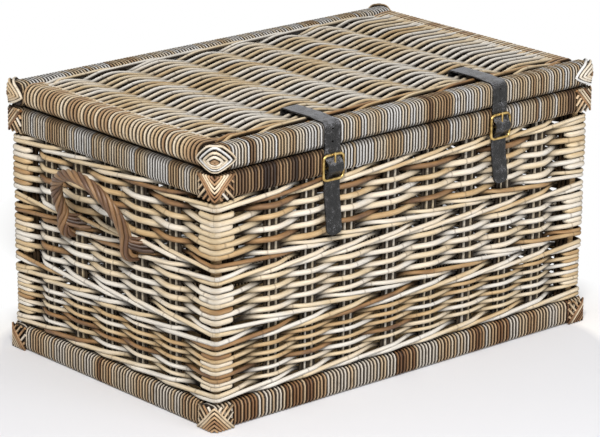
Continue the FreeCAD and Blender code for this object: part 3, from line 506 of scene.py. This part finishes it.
def cornerLoops(wall):
    # Where a rod passes behind the corner pole, a short loop fills its place outside.
    before = walls[wall].before
    darkShares = wallDeep(before), wallDeep(wall)

    # A loop takes the lighter of the two walls' painted shade.
    def deep(place, normal):
        return min(darkening(place, normal) for darkening in darkShares)
    rods = []
    for row, (level, radius) in enumerate(bandRows):
        if (walls[wall].station + row) % 2 == 0:
            continue
        face = weave["middle"] - weave["over"] - radius
        turn = face + weave["corner"]
        end = loops["reach"] + jitter(2)
        side = [(end, face + loops["tuck"]), (end - 1, face + 4.5), (end - 4, face + 1.2),
                (end - 9, face), (turn + 2, face)]
        bend = arc(turn, turn, -weave["corner"], (80, 62, 45))
        up = level + jitter(0.4)
        points = [wallPoint(before, walls[before].reach - along, inset, up)
                  for along, inset in side + bend[:2]]
        points += [wallPoint(wall, along, inset, up) for along, inset in reversed(side + bend)]
        rods.append((points, radius * loops["thick"], pickTone(loops["tones"]), deep))
    return rods


for wall in walls:
    pole = walls[wall].pole
    for name, rods, slot, rounds, node in (
            (f"{wall}Randing", randing(wall), "pale_cane", 3, f"{wall}_weavers"),
            (f"{wall}Wales", wales(wall), "pale_cane", 3, f"{wall}_waling"),
            (f"{wall}StakePairs", stakeRods(wall), "dark_cane", 2, f"{wall}_stakes"),
            (f"{pole.title().replace('_', '')}Loops", cornerLoops(wall), "pale_cane", 3,
             f"corner_loops_{pole}")):
        makeRods(name, rods, "paleCane", slot, "chest_body", node, rounds=rounds)
print("walls woven")


# Rims and rails: peel wound round a batten, turn beside turn, in groups of one tone.

wraps = {
    "roundness": 6.5, "thick": (0.78, 0.94), "speck": 0.26, "ends": 3.5,
    "darkerSpan": (130, 230), "darker": 0.3,
    "base": {"low": 0, "high": 41, "turn": 7.0, "look": "brownPeel", "slot": "brown_peel",
             "tones": [(0.5, 2), (0.72, 3), (0.9, 3), (1.02, 3)], "paler": {}},
    "rim": {"low": 362, "high": 404.3, "turn": 6.2, "look": "boundPeel", "slot": "bound_peel",
            "tones": [(0.42, 2), (0.58, 3), (0.74, 3), (0.94, 2)], "paler": {"left": 0.14}},
    "lid": {"low": 405.2, "high": 445, "turn": 6.0, "look": "boundPeel", "slot": "bound_peel",
            "tones": [(0.36, 1), (0.55, 3), (0.72, 4), (0.9, 3)], "paler": {"back": 0.2}}}


def ringPath(wall, along, low, high, radius):
    # One turn round a rail, as a rectangle with softened corners.
    soft = wraps["roundness"]
    near, far = radius + soft, chest["rail"] - radius - soft
    bottom, top = low + radius + soft, high - radius - soft
    lean = jitter(0.5)
    points = []
    for middle, up, start in ((far, bottom, 270), (far, top, 0), (near, top, 90),
                              (near, bottom, 180)):
        for inset, height in arc(middle, up, soft, (start, start + 45, start + 90)):
            drift = lean * (height - low) / (high - low) + jitter(0.15)
            points.append(wallPoint(wall, along + drift, inset, height))
    return points


def groupTones(count, shares):
    # Runs of turns from one length of peel share a tone.
    tones = []
    while len(tones) < count:
        tone = pickTone(shares)
        tones += [tone + dice.gauss(0, 0.5) * wraps["speck"] for _ in range(dice.randint(2, 9))]
    return tones[:count]


def windRail(wall, rim, start, body, node):
    look, at = wraps[rim], walls[wall]
    run = at.reach - 2 * start
    count = round(run / look["turn"])
    pitch = run / count

    def valley(place, normal):
        # Painted shade between the turns, and where the rim and the lid meet.
        seam = paintedShadeAndEdge["seam"] * (1 - ramp(abs(place[2] - chest["seam"]), 1, 8.5))
        return max(paintedShadeAndEdge["deep"] * ramp(abs(normal.dot(at.run)), 0.15, 0.7), seam)
    rods = []
    for index, tone in enumerate(groupTones(count, look["tones"])):
        along = start + pitch * (index + 0.5)
        if rim == "rim" and wall == "front":  # darker by the left corner
            tone -= wraps["darker"] * (1 - ramp(along, *wraps["darkerSpan"]))
        radius = pitch / 2 * dice.uniform(*wraps["thick"])
        rods.append((ringPath(wall, along, look["low"], look["high"], radius), radius,
                     tone + look["paler"].get(wall, 0), valley, True))
    makeRods(f"{wall}{rim.title()}Winding", rods, look["look"], look["slot"], body, node,
             rounds=2)


for wall in walls:
    start = wraps["ends"] if wall in ("front", "back") else chest["rail"]
    for rim in ("base", "rim"):
        windRail(wall, rim, start, "chest_body", f"{rim}_wrap_{wall}")
for wall in ("front", "back"):
    windRail(wall, "lid", wraps["ends"], "lid", f"lid_{wall}_wrap")
print("rims wound")


# Lid: a woven panel, loops of its rods round the end poles.

lid = {"middle": 435, "swing": 8.3, "edge": 197.8, "rows": 46, "radius": 3.9, "slim": 0.93,
       "thick": (0.93, 1.05), "wobble": 0.4, "tones": (0.48, 1.1), "loopTone": 0.7,
       "stakes": [68, 155.2, 256, 352, 436.8, 524.8, 612.8, 689.6], "end": 366, "steps": 8,
       "overEnd": 440.6, "loopSoft": 13.5, "loopStart": [(62, 434), (50, 438)],
       "loopEnd": [(34, 409.6), (48, 418), (60, 426)],
       "waleAt": 209.4, "waleRise": 7.2, "waleRadius": 3.4, "waleSwing": 7.6}
lidStations = len(lid["stakes"]) + 2


def lidLine(across, outer, swing, drift):
    stakes = [-lid["end"], *[place - halfLength for place in lid["stakes"]], lid["end"]]
    points = []
    for index, (a, b) in enumerate(zip(stakes, stakes[1:])):
        for step in range(lid["steps"] + (b == lid["end"])):
            share = step / lid["steps"]
            rise = outer[index] + (outer[index + 1] - outer[index]) * easeOver(share)
            points.append((a + (b - a) * share, across + drift(index + share),
                           lid["middle"] + swing * rise))
    return points


def lidDeep(place, normal):
    # Painted shade by depth as in the walls, and where it turns its side to its neighbours.
    rise = place[2] - lid["middle"]
    side = paintedShadeAndEdge["side"] * (1 - ramp(abs(normal[2]), 0.28, 0.82))
    return max(shadeByDepth(ramp(6 - rise, 0, 7), ramp(6 + rise, 0, 7), normal[2]), side)


def loopDeep(place, normal):
    # Painted shade between the loops, and low on the loops where the lid meets the rim.
    seam = paintedShadeAndEdge["seam"] * (1 - ramp(place[2] - chest["seam"], 1, 10))
    return max(paintedShadeAndEdge["deep"] * ramp(abs(normal[1]), 0.3, 0.75), seam)


def lidRow(row):
    # Where a row of the lid lies, how it wanders, its radius and tone: the same for the weave
    # and for the loops at its ends.
    lot = random.Random(row + 900)
    across = -lid["edge"] + 2 * lid["edge"] * (row + 0.5) / lid["rows"]
    thick = lid["radius"] * lot.uniform(*lid["thick"])
    return across, wander(lid["wobble"], row + 700), thick, lot.uniform(*lid["tones"])


def lidRanding():
    rods = []
    for row in range(lid["rows"]):
        across, wave, thick, tone = lidRow(row)
        outer = [(-1) ** (index + row) + jitter(0.05) for index in range(lidStations)]
        outer[0] = outer[-1] = (lid["overEnd"] - lid["middle"]) / lid["swing"]
        rods.append((lidLine(across, outer, lid["swing"], wave), thick * lid["slim"], tone,
                     lidDeep))
    return rods


def lidWales():
    rods = []
    for side in (-1, 1):
        for third, end in enumerate((-0.4, 0.6, 0.2)):
            outer = [1 if (index + third) % 3 > 0 else -1 for index in range(lidStations)]
            outer[0] = outer[-1] = end
            points = lidLine(side * lid["waleAt"], outer, lid["waleSwing"],
                             lambda at: lid["waleRise"] * climb((at + third) % 3))
            rods.append((points, lid["waleRadius"], pickTone(weave["tones"]), lidDeep))
    return rods


def lidStakes():
    rods = []
    for place in lid["stakes"]:
        for hand, radius in stake["lidRow"]:
            points = [(place - halfLength + hand + jitter(0.5), y, lid["middle"])
                      for y in range(-220, 221, 40)]
            # The lid's pair are painted shade but for their upper ridge; the filler between them
            # is painted shade all over.
            rods.append((points, radius, 0.8 + jitter(0.15),
                         shadeButRidge(Vector((0, 0, 1))) if hand else paintedShadeAndEdge["side"]))
    return rods


def endLoops(hand):
    # Each row of the lid turns down over the end pole and comes back underneath.
    low, high, soft = wraps["lid"]["low"], wraps["lid"]["high"], lid["loopSoft"]
    rods = []
    for row in range(-2, lid["rows"] + 2):
        across, wave, thick, tone = lidRow(row)
        across += wave(lidStations - 1 if hand > 0 else 0)
        route = [] if 0 <= row < lid["rows"] else list(lid["loopStart"])
        route += [(halfLength - lid["end"], lid["overEnd"])]
        route += arc(soft + thick, high - thick - soft, soft, range(90, 181, 18))
        route += arc(soft + thick, low + thick + soft, soft, range(180, 271, 18))
        route += lid["loopEnd"]
        rods.append(([(hand * (halfLength - inset), across, up) for inset, up in route], thick,
                     tone * lid["loopTone"], loopDeep))
    return rods


makeRods("lidRanding", lidRanding(), "paleCane", "pale_cane", "lid", "lid_weavers")
makeRods("lidWales", lidWales(), "paleCane", "pale_cane", "lid", "lid_waling")
makeRods("lidStakePairs", lidStakes(), "paleCane", "dark_cane", "lid", "lid_stakes", rounds=2)
for side, hand in (("left", -1), ("right", 1)):
    makeRods(f"{side}LidLoops", endLoops(hand), "boundPeel", "bound_peel", "lid",
             f"lid_{side}_end_binding")
print("lid woven")


# Corners: peel crossed over the edge, as an eye on the lid and as chevrons on the two rims.

corners = {"soft": 7, "edge": 4, "proud": 0.9, "noTop": 1e9,
           "eye": {"rings": 5, "wide": 43, "up": (33, 0.38), "down": (18, 0.35),
                   "middle": 424, "bulge": 0.28, "dome": 1.6, "thin": 0.8, "thick": 2.5,
                   "centre": 0.3, "tones": [(0.55, 2), (0.8, 3), (1.0, 3)]},
           "chevron": {"arms": 6, "pitch": 6.4, "strand": 2.3, "wide": 35, "bow": 0.92,
                       "proud": 1.3, "under": 5, "underProud": 0.2, "leave": (0.18, 0.155),
                       "tones": [(0.3, 2), (0.5, 3), (0.8, 2)],
                       "underTones": [(0.5, 2), (0.7, 2), (0.95, 2)]}}


def aroundCorner(turnX, turnY, along, out, up, top):
    # along runs round the upright edge: negative on the end face, positive on the long face.
    # Above the top edge the path folds over on to the upper face.
    edge, soft = corners["edge"], corners["soft"]
    past = up - (top - edge)
    if past > 0:
        turn = min(past / edge, math.pi / 2)
        inward = max(past - edge * math.pi / 2, 0)
        up = top - edge + (edge + out) * math.sin(turn)
        out = (edge + out) * math.cos(turn) - edge - inward
    radius = max(soft + out, 0)
    bendLength = soft * math.pi / 4
    if abs(along) <= bendLength:
        angle = math.pi / 4 + along / soft
        x = max(soft, -out) - radius * math.cos(angle)
        y = max(soft, -out) - radius * math.sin(angle)
    else:
        extra = max(soft + abs(along) - bendLength, -out)
        x, y = (extra, -out) if along > 0 else (-out, extra)
    return turnX * (halfLength - x), turnY * (halfDepth - y), up


def strand(corner, keys, widths, proud, top, tone, *closed):
    # A strand through (along, up) keys, with a point every few millimetres, with painted shade
    # where it turns its side to its neighbour.
    turnX, turnY, middle = corner
    inset = chest["rail"] / 2
    core = Vector((turnX * (halfLength - inset), turnY * (halfDepth - inset), middle))

    def deep(place, normal):
        facing = normal.dot((place - core).normalized())
        return paintedShadeAndEdge["side"] * (1 - ramp(facing, 0.35, 0.8))
    ring = [(*key, wide) for key, wide in zip(keys, widths)]
    ring += ring[:1] if closed else []
    spots = []
    for a, b in zip(ring, ring[1:]):
        steps = max(1, round(math.dist(a[:2], b[:2]) / 3))
        spots += [[p + (q - p) * step / steps for p, q in zip(a, b)] for step in range(steps)]
    spots += [] if closed else ring[-1:]
    points = [aroundCorner(turnX, turnY, along, proud, up, top) for along, up, wide in spots]
    return (points, [wide for along, up, wide in spots], tone, deep, *closed)


def cornerEye(turnX, turnY, top):
    # Concentric diamonds of flat peel round the corner, their centre low on the upright edge.
    # Up and down hold how far they reach, and how much of its pitch a strand fills.
    eye = corners["eye"]
    rods = []
    for ring in range(eye["rings"]):
        share = (ring + 0.5) / (eye["rings"] + 0.2)
        power = 1 + eye["bulge"] * share ** 2
        keys, widths = [], []
        for c, s in arc(0, 0, 1, range(0, 360, 12)):
            far = (abs(c) ** power + abs(s) ** power) ** (-1 / power) * share
            tall, fill = eye["up"] if s > 0 else eye["down"]
            keys.append((eye["wide"] * c * far, eye["middle"] + tall * s * far))
            pitch = (eye["wide"] * abs(c) + tall * abs(s)) / eye["rings"]
            widths.append(min(max(fill * pitch, eye["thin"]), eye["thick"]))
        proud = corners["proud"] + eye["dome"] * (1 - share)
        tone = pickTone(eye["tones"]) if ring else eye["centre"]
        rods.append(strand((turnX, turnY, eye["middle"]), keys, widths, proud, top, tone, True))
    return rods


def chevrons(turnX, turnY, low, high, rises):
    # Nested strands that meet on the upright edge, over strands that run the other way.
    look = corners["chevron"]
    thin, wide = look["strand"], look["wide"]
    tall = high - low - 2 * thin
    corner = (turnX, turnY, (low + high) / 2)

    def height(share):
        return low + thin + tall * (share if rises else 1 - share)
    rods = []
    for hand in (-1, 1):
        for index in range(look["under"]):
            # These run parallel to the arms of the other hand, out from under them.
            leave = look["leave"][0] + look["leave"][1] * index
            reach, foot = min(2 * leave, 0.97), max(2 * leave - 0.97, 0)
            keys = [(hand * wide * (leave + (reach - leave) * k / 3),
                     height(leave + (foot - leave) * k / 3)) for k in range(4)]
            rods.append(strand(corner, keys, [thin] * 4, look["underProud"], corners["noTop"],
                               pickTone(look["underTones"])))
    for index in range(look["arms"]):
        tip = index * look["pitch"] / tall
        shares = [k / 4 for k in range(-4, 5)]
        keys = [(wide * (1 - tip) * share,
                 height(tip + (1 - tip) * abs(share) ** look["bow"])) for share in shares]
        widths = [thin * (0.85 + 0.25 * abs(share)) for share in shares]
        rods.append(strand(corner, keys, widths, look["proud"], corners["noTop"],
                           pickTone(look["tones"])))
    return rods


for group, finish, body, node in (("base", "brownPeel", "chest_body", "base_corner_caps"),
                                  ("rim", "brownPeel", "chest_body", "rim_corner_caps"),
                                  ("lid", "boundPeel", "lid", "lid_corner_knots")):
    look = wraps[group]
    rods = []
    for turnX, turnY in ((-1, -1), (-1, 1), (1, -1), (1, 1)):
        if group == "lid":
            rods += cornerEye(turnX, turnY, look["high"])
        else:
            rods += chevrons(turnX, turnY, look["low"], look["high"], group == "rim")
    makeRods(f"{group}CornerLashings", rods, finish, look["slot"], body, node, rounds=2)
print("corners bound")


# Handles: strands laid up as a rope, bent into an arch that leans out.

handle = {"legs": [-62, 94], "foot": 233, "legOut": 414.6, "wallOut": 394, "knee": 268.6,
          "lean": 24, "run": 11.5, "strands": 6, "lay": 88, "strandRadius": 3.5,
          "helix": 6.4, "core": 4.5, "tones": [(0.12, 2), (0.35, 3), (0.62, 2)],
          "archSteps": 36, "lashings": 4, "lashingRadius": 2.9, "lashingOut": (402, 390),
          "lashingTones": [(0.15, 2), (0.4, 2)]}


def roundedRoute(keys, steps=6):
    # Straight runs joined by arcs: keys are (point, radius).
    points = [Vector(keys[0][0])]
    for (before, _), (corner, radius), (after, _) in zip(keys, keys[1:], keys[2:]):
        corner = Vector(corner)
        back = (Vector(before) - corner).normalized()
        on = (Vector(after) - corner).normalized()
        half = (math.pi - back.angle(on)) / 2
        if radius == 0 or half < 1e-4:
            points.append(corner)
            continue
        middle = corner + (back + on).normalized() * (radius / math.cos(half))
        armA, armB = [corner + way * radius * math.tan(half) - middle for way in (back, on)]
        turn = armA.angle(armB)
        for step in range(steps + 1):
            share = step / steps
            points.append(middle + (armA * math.sin(turn * (1 - share))
                                    + armB * math.sin(turn * share)) / math.sin(turn))
    points.append(Vector(keys[-1][0]))
    return points


def evenly(points, gap):
    # The same line with a point every gap.
    result = [points[0]]
    left = gap
    for a, b in zip(points, points[1:]):
        length, done = (b - a).length, 0
        while length - done >= left:
            done += left
            result.append(a + (b - a) * (done / length))
            left = gap
        left -= length - done
    return result


def handleLine(hand):
    lean = math.radians(handle["lean"])
    leaning = Vector((hand * math.sin(lean), 0, math.cos(lean)))
    out, foot = hand * handle["legOut"], handle["foot"]
    legs = []
    for place in handle["legs"]:
        knee = Vector((out, place, handle["knee"]))
        legs.append(roundedRoute([((hand * handle["wallOut"], place, foot), 0),
                                  ((out, place, foot), 14), (knee, 15),
                                  (knee + leaning * handle["run"], 0)]))
    tops = [leg[-1] for leg in legs]
    centre, half = (tops[0] + tops[1]) / 2, (tops[1] - tops[0]) / 2
    arch = [centre - half * c + leaning * half.length * s for c, s in
            arc(0, 0, 1, [180 * i / handle["archSteps"] for i in range(1, handle["archSteps"])])]
    return legs[0] + arch + legs[1][::-1]


def ropeRods(line):
    # Strands laid side by side, which begin to turn round each other half way along, on a
    # dark core, with painted shade where they look in to the core.
    gap, count = 3, handle["strands"]
    spots = evenly(line, gap)
    tree = KDTree(len(spots))
    for index, spot in enumerate(spots):
        tree.insert(spot, index)
    tree.balance()
    full = handle["helix"] + handle["strandRadius"]

    def deep(place, normal):
        return paintedShadeAndEdge["side"] * (1 - ramp(tree.find(place)[2] / full, 0.66, 0.84))
    side = (spots[1] - spots[0]).orthogonal().normalized()
    frames, turned = [], 0
    for index, spot in enumerate(spots):
        way = (spots[min(index + 1, len(spots) - 1)] - spots[max(index - 1, 0)]).normalized()
        side = (side - way * side.dot(way)).normalized()
        frames.append((spot, side, way.cross(side), turned))
        turned += 2 * math.pi * gap / handle["lay"] * ramp(index / len(spots), 0.05, 0.3)
    rods = []
    for number in range(count):
        points = []
        for spot, a, b, angle in frames:
            angle += 2 * math.pi * number / count
            points.append(spot + a * handle["helix"] * math.cos(angle)
                          + b * handle["helix"] * math.sin(angle))
        rods.append((points, handle["strandRadius"], pickTone(handle["tones"]), deep))
    return rods + [(evenly(line, 6), handle["core"], 0.0, 0)]


def lashingRods(hand):
    # At each knee some strands leave the rope and go straight into the weave.
    rods = []
    out, through, end = [hand * x for x in (handle["legOut"], *handle["lashingOut"])]
    for place in handle["legs"]:
        for index in range(handle["lashings"]):
            start = handle["knee"] - 2 - 5 * index
            drift = -6 - 3 * index
            keys = [((out, place - 3, start + 9), 0), ((out, place - 5, start), 9),
                    ((through, place + drift * 1.7, start - 4), 10),
                    ((end, place + drift * 2.6, start - 4), 0)]
            rods.append((roundedRoute(keys), handle["lashingRadius"],
                         pickTone(handle["lashingTones"]), 0))
    return rods


for side, hand in (("left", -1), ("right", 1)):
    makeRods(f"{side}RopeHandle", ropeRods(handleLine(hand)), "ropeCane", "twisted_cane_rope",
             "chest_body", f"{side}_handle")
makeRods("handleLashings", lashingRods(-1) + lashingRods(1), "ropeCane", "pale_cane",
         "chest_body", "handle_lashings", rounds=2)
print("handles laid up")


# Leather straps, the loops that hold the buckles, and hinges. A strip's tip is the radius of
# its far end's corners.

straps = {"left": {"middle": -170, "tip": 268, "hinge": -200},
          "right": {"middle": 186, "tip": 283, "hinge": 200},
          "strap": {"wide": 31, "thick": 2.4, "tip": 11},
          "chape": {"wide": 26, "thick": 2.2, "tip": 0.01},
          "hinge": {"wide": 40, "thick": 2.6, "tip": 0.01},
          "columns": 10, "holes": (415.5, 435.5), "holeRadius": 2, "face": -256.5}
# The brass frame's half width and height, where its bar lies, the prong's eye, and the points
# of its pin, out and up from the bar. Wires are radii.
buckle = {"wide": 20, "tall": 19.5, "corner": 7, "wire": 2.2, "barWire": 1.95,
          "bar": (-260.0, 376.0), "eye": 3.3, "eyeWire": 1.25,
          "pin": [(3, 1.5), (4, 5), (3.9, 19.5), (3.4, 23.4)], "pinWire": [1.6, 1.6, 1.4, 0.8]}


def punchedHoles(middle):
    punch = bmesh.new()
    radius = straps["holeRadius"] * mm
    for height in straps["holes"]:
        place = Vector((middle, straps["face"], height)) * mm
        bmesh.ops.create_cone(punch, segments=16, radius1=radius, radius2=radius, depth=0.03,
                              cap_ends=True, matrix=Matrix.Translation(place)
                              @ Matrix.Rotation(math.pi / 2, 4, "X"))
    return linkObject("punch", punch)


def leatherStrip(name, kind, route, middle, body, node):
    # A few points drawn out across its width, then given its thickness and soft edges.
    look, columns = straps[kind], straps["columns"]
    half, tipRound = look["wide"] / 2, look["tip"]
    line = evenly(roundedRoute([((0, y, z), radius) for y, z, radius in route]), 1.5)
    strip = bmesh.new()
    chain = [strip.verts.new((-half * mm, p.y * mm, p.z * mm)) for p in line]
    edges = [strip.edges.new(pair) for pair in zip(chain, chain[1:])]
    for _ in range(columns):
        drawn = bmesh.ops.extrude_edge_only(strip, edges=edges)["geom"]
        fresh = [v for v in drawn if isinstance(v, bmesh.types.BMVert)]
        bmesh.ops.translate(strip, vec=(look["wide"] / columns * mm, 0, 0), verts=fresh)
        edges = [e for e in drawn if isinstance(e, bmesh.types.BMEdge)
                 and abs(e.verts[0].co.x - e.verts[1].co.x) < 1e-7]
    for vert in strip.verts:
        away = math.dist((vert.co.y / mm, vert.co.z / mm), line[-1].yz)
        if away < tipRound:
            narrow = half - tipRound + math.sqrt(tipRound ** 2 - (tipRound - away) ** 2)
            vert.co.x *= narrow / half
        vert.co.x += middle * mm
    piece = finishPiece(name, strip, "leather", "black_leather", body, node)
    solid = piece.modifiers.new("thickness", "SOLIDIFY")
    solid.thickness = look["thick"] * mm
    solid.offset = 0
    if kind == "strap":
        cut = piece.modifiers.new("holes", "BOOLEAN")
        cut.object = punchedHoles(middle)
        cut.solver = "EXACT"
    soften = piece.modifiers.new("softEdges", "BEVEL")
    soften.width = 0.5 * mm
    soften.segments = 2
    soften.limit_method = "ANGLE"
    graph = bpy.context.evaluated_depsgraph_get()
    flat, piece.data = piece.data, bpy.data.meshes.new_from_object(piece.evaluated_get(graph))
    bpy.data.meshes.remove(flat)
    if kind == "strap":
        bpy.data.objects.remove(cut.object)
    piece.modifiers.clear()
    piece.data.shade_smooth()
    return piece


def makeBuckle(side):
    # The frame with its bar, and the prong with its eye round the bar.
    middle = straps[side]["middle"]
    y, z = buckle["bar"]
    wide, tall, soft = buckle["wide"], buckle["tall"], buckle["corner"]
    ring = []
    for turnX, turnZ, first in ((1, 1, 0), (-1, 1, 90), (-1, -1, 180), (1, -1, 270)):
        ring += [(x, y, up) for x, up in arc(middle + turnX * (wide - soft),
                                             z + turnZ * (tall - soft), soft,
                                             range(first, first + 91, 15))]
    bar = [(middle - wide, y, z), (middle + wide, y, z)]
    eye = [(middle, *spot)
           for spot in arc(y, z, buckle["eye"], [22.5 * i for i in range(16)])]
    pin = [(middle, y - out, z + up) for out, up in buckle["pin"]]
    for name, kind, rounds, rods in (
            ("Frame", "frame", 6, [(ring, buckle["wire"], 0.5, 0, True),
                                   (bar, buckle["barWire"], 0.5, 0)]),
            ("Pin", "prong", 4, [(eye, buckle["eyeWire"], 0.5, 0, True),
                                 (pin, buckle["pinWire"], 0.5, 0)])):
        node = f"{side}_buckle_{kind}"
        makeRods(f"{side}Buckle{name}", rods, "brass", "brass", node, node, rounds=rounds)


barY, barZ = buckle["bar"]
for side in ("left", "right"):
    look = straps[side]
    # Out through the lid, over its front rail, round the buckle's bar and down to its tip.
    route = [(-139.4, 421.2, 0), (-155.4, 421.2, 4.8), (-155.4, 448.8, 4.8), (-221, 448.8, 19),
             (-238, 446.5, 19), (-256.5, 446.5, 9.6), (-256.5, barZ + 15.3, 4.8),
             (-266.2, barZ + 5.1, 4.8), (-266.2, barZ - 5.1, 4.8), (-256.5, barZ - 15.3, 4.8),
             (-256.5, barZ - 39, 19), (-264.5, look["tip"], 0)]
    strap = leatherStrip(f"{side}Strap", "strap", route, look["middle"], None, f"{side}_strap")
    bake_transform(strap)
    loop = [(-256.9, 367), *arc(barY, barZ, 3.35, range(10, 191, 15)), (-262.4, 372),
            (-259.6, 367)]
    leatherStrip(f"{side}Chape", "chape", [(y, z, 0) for y, z in loop], look["middle"],
                 "chest_body", f"{side}_buckle_chape")
for side in ("left", "right"):
    makeBuckle(side)
    hinge = leatherStrip(f"{side}HingeStrap", "hinge", [(256.7, 374.75, 0), (256.7, 434.75, 0)],
                         straps[side]["hinge"], None, f"{side}_hinge_strap")
    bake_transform(hinge)
print("leather and brass done")


# CAD pieces that keep their shape get their materials.

kept = {"plywood": ["base_board"],
        "softwood": ["base_bearers", *[f"corner_post_{at.pole}" for at in walls.values()]],
        "stainedWood": ["base_battens", "rim_battens", "lid_battens", "lid_end_poles"],
        "brass": ["hinge_nails_body", "hinge_nails_lid"]}
for finish, nodes in kept.items():
    for node in nodes:
        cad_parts[node].data.materials.clear()
        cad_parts[node].data.materials.append(finishes[finish])


# Floor, light and camera. The floor is in metres.

studio = {"floor": 30, "key": 266, "fill": 34, "world": 0.36,
          "padShift": (-0.003, 0.45, 0), "padTurn": math.radians(41.4), "padRound": 0.195,
          "padHalf": (0.29, 0.375), "pad": "#e0e2e7", "beyond": "#fcfcfc",
          "behind": (0.35, 0.5, 0)}


def seenByEye(add):
    # The background as the camera sees it, in metal and glass too.
    path = add("LightPath")
    seen = path["Is Camera Ray"]
    for ray in ("Is Glossy Ray", "Is Transmission Ray"):
        seen = add("Math", {"operation": "MAXIMUM", 0: seen, 1: path[ray]})[0]
    return seen


def awayFrom(add, place, half):
    # How far a place on the floor lies outside a rectangle of this half size.
    for operation, value in (("ABSOLUTE", (0, 0, 0)), ("SUBTRACT", (*half, 0)),
                             ("MAXIMUM", (0, 0, 0))):
        place = add("VectorMath", {"operation": operation, 0: place, 1: value})[0]
    return add("VectorMath", {"operation": "LENGTH", 0: place})["Value"]


def floorMaterial():
    # A matt painted floor: a pale grey pad with round corners, white to the camera beyond it,
    # but not in the chest's own shadow, nor behind it, where the floor shows through the weave.
    material, add, shader = newMaterial("paleFloorPaint")
    place = add("TexCoord")["Object"]
    onPad = add("Mapping", {"Location": studio["padShift"], "Vector": place,
                            "Rotation": (0, 0, studio["padTurn"])})[0]
    offPad = awayFrom(add, onPad, studio["padHalf"])
    beside = awayFrom(add, place, (halfLength * mm, halfDepth * mm))
    behind = add("VectorMath", {"operation": "DISTANCE", 0: place, 1: studio["behind"]})["Value"]
    shares = [add("MapRange", {"From Min": low, "From Max": high, "Value": distance})[0]
              for distance, low, high in ((offPad, studio["padRound"], studio["padRound"] + 0.02),
                                          (beside, 0.04, 0.16), (behind, 0.38, 0.5))]
    colour = add("Mix", {"data_type": "RGBA", 0: shares[0], 6: linear(studio["pad"]),
                         7: linear(studio["beyond"])})[2]
    add(shader, {"Base Color": colour, "Roughness": 0.85})
    white = seenByEye(add)
    for share in shares:
        white = add("Math", {"operation": "MULTIPLY", 0: share, 1: white})[0]
    glow = add("Emission", {"Color": linear("#ffffff")})[0]
    mixed = add("MixShader", {0: white, 1: shader.outputs[0], 2: glow})[0]
    add(material.node_tree.get_output_node("ALL"), {"Surface": mixed})
    return material


floorBuild = bmesh.new()
bmesh.ops.create_grid(floorBuild, x_segments=1, y_segments=1, size=studio["floor"] / 2)
floor = linkObject("floor", floorBuild)
floor.data.materials.append(floorMaterial())

world = bpy.data.worlds.new("studio")
bpy.context.scene.world = world
world.use_nodes = True
world.node_tree.nodes.clear()
add = partial(addNode, world.node_tree)
dim, white = [add("Background", {"Color": linear(colour), "Strength": power})[0]
              for colour, power in (("#f4f6fa", studio["world"]), ("#ffffff", 1.0))]
add("OutputWorld", {"Surface": add("MixShader", {0: seenByEye(add), 1: dim, 2: white})[0]})

for name, place, power, size, colour in (
        ("keyLight", (-2.6, -2.8, 3.4), studio["key"], 1.0, "#fffaf4"),
        ("fillLight", (0.6, -3.8, 1.6), studio["fill"], 1.6, "#f2f6ff")):
    lamp = bpy.data.lights.new(name, "AREA")
    lamp.energy = power
    lamp.size = size
    lamp.color = linear(colour)[:3]
    holder = linkObject(name, lamp)
    holder.location = place
    towards = Vector((0, 0, 0.25)) - Vector(place)
    holder.rotation_euler = towards.to_track_quat("-Z", "Y").to_euler()

# Where the photograph was taken from: metres, degrees, and a lens for a sensor 36 mm wide.
view = {"place": (-3.1776, -3.5774, 1.7088), "yaw": 41.56, "pitch": 17.54, "roll": 0.55,
        "lens": 185.31}
lens = bpy.data.cameras.new("photoCamera")
lens.lens = view["lens"]
lens.sensor_width = 36
lens.clip_end = 60
camera = linkObject("photoCamera", lens)
yaw, pitch, roll = [math.radians(view[turn]) for turn in ("yaw", "pitch", "roll")]
ahead = Vector((math.sin(yaw) * math.cos(pitch), math.cos(yaw) * math.cos(pitch),
                -math.sin(pitch)))
aside = ahead.cross(Vector((0, 0, 1))).normalized()
turned = Matrix((aside, aside.cross(ahead), -ahead)).transposed().to_4x4()
camera.matrix_world = (Matrix.Translation(view["place"]) @ turned
                       @ Matrix.Rotation(roll, 4, "Z"))
bpy.context.scene.camera = camera
bpy.context.scene.view_settings.view_transform = "Standard"
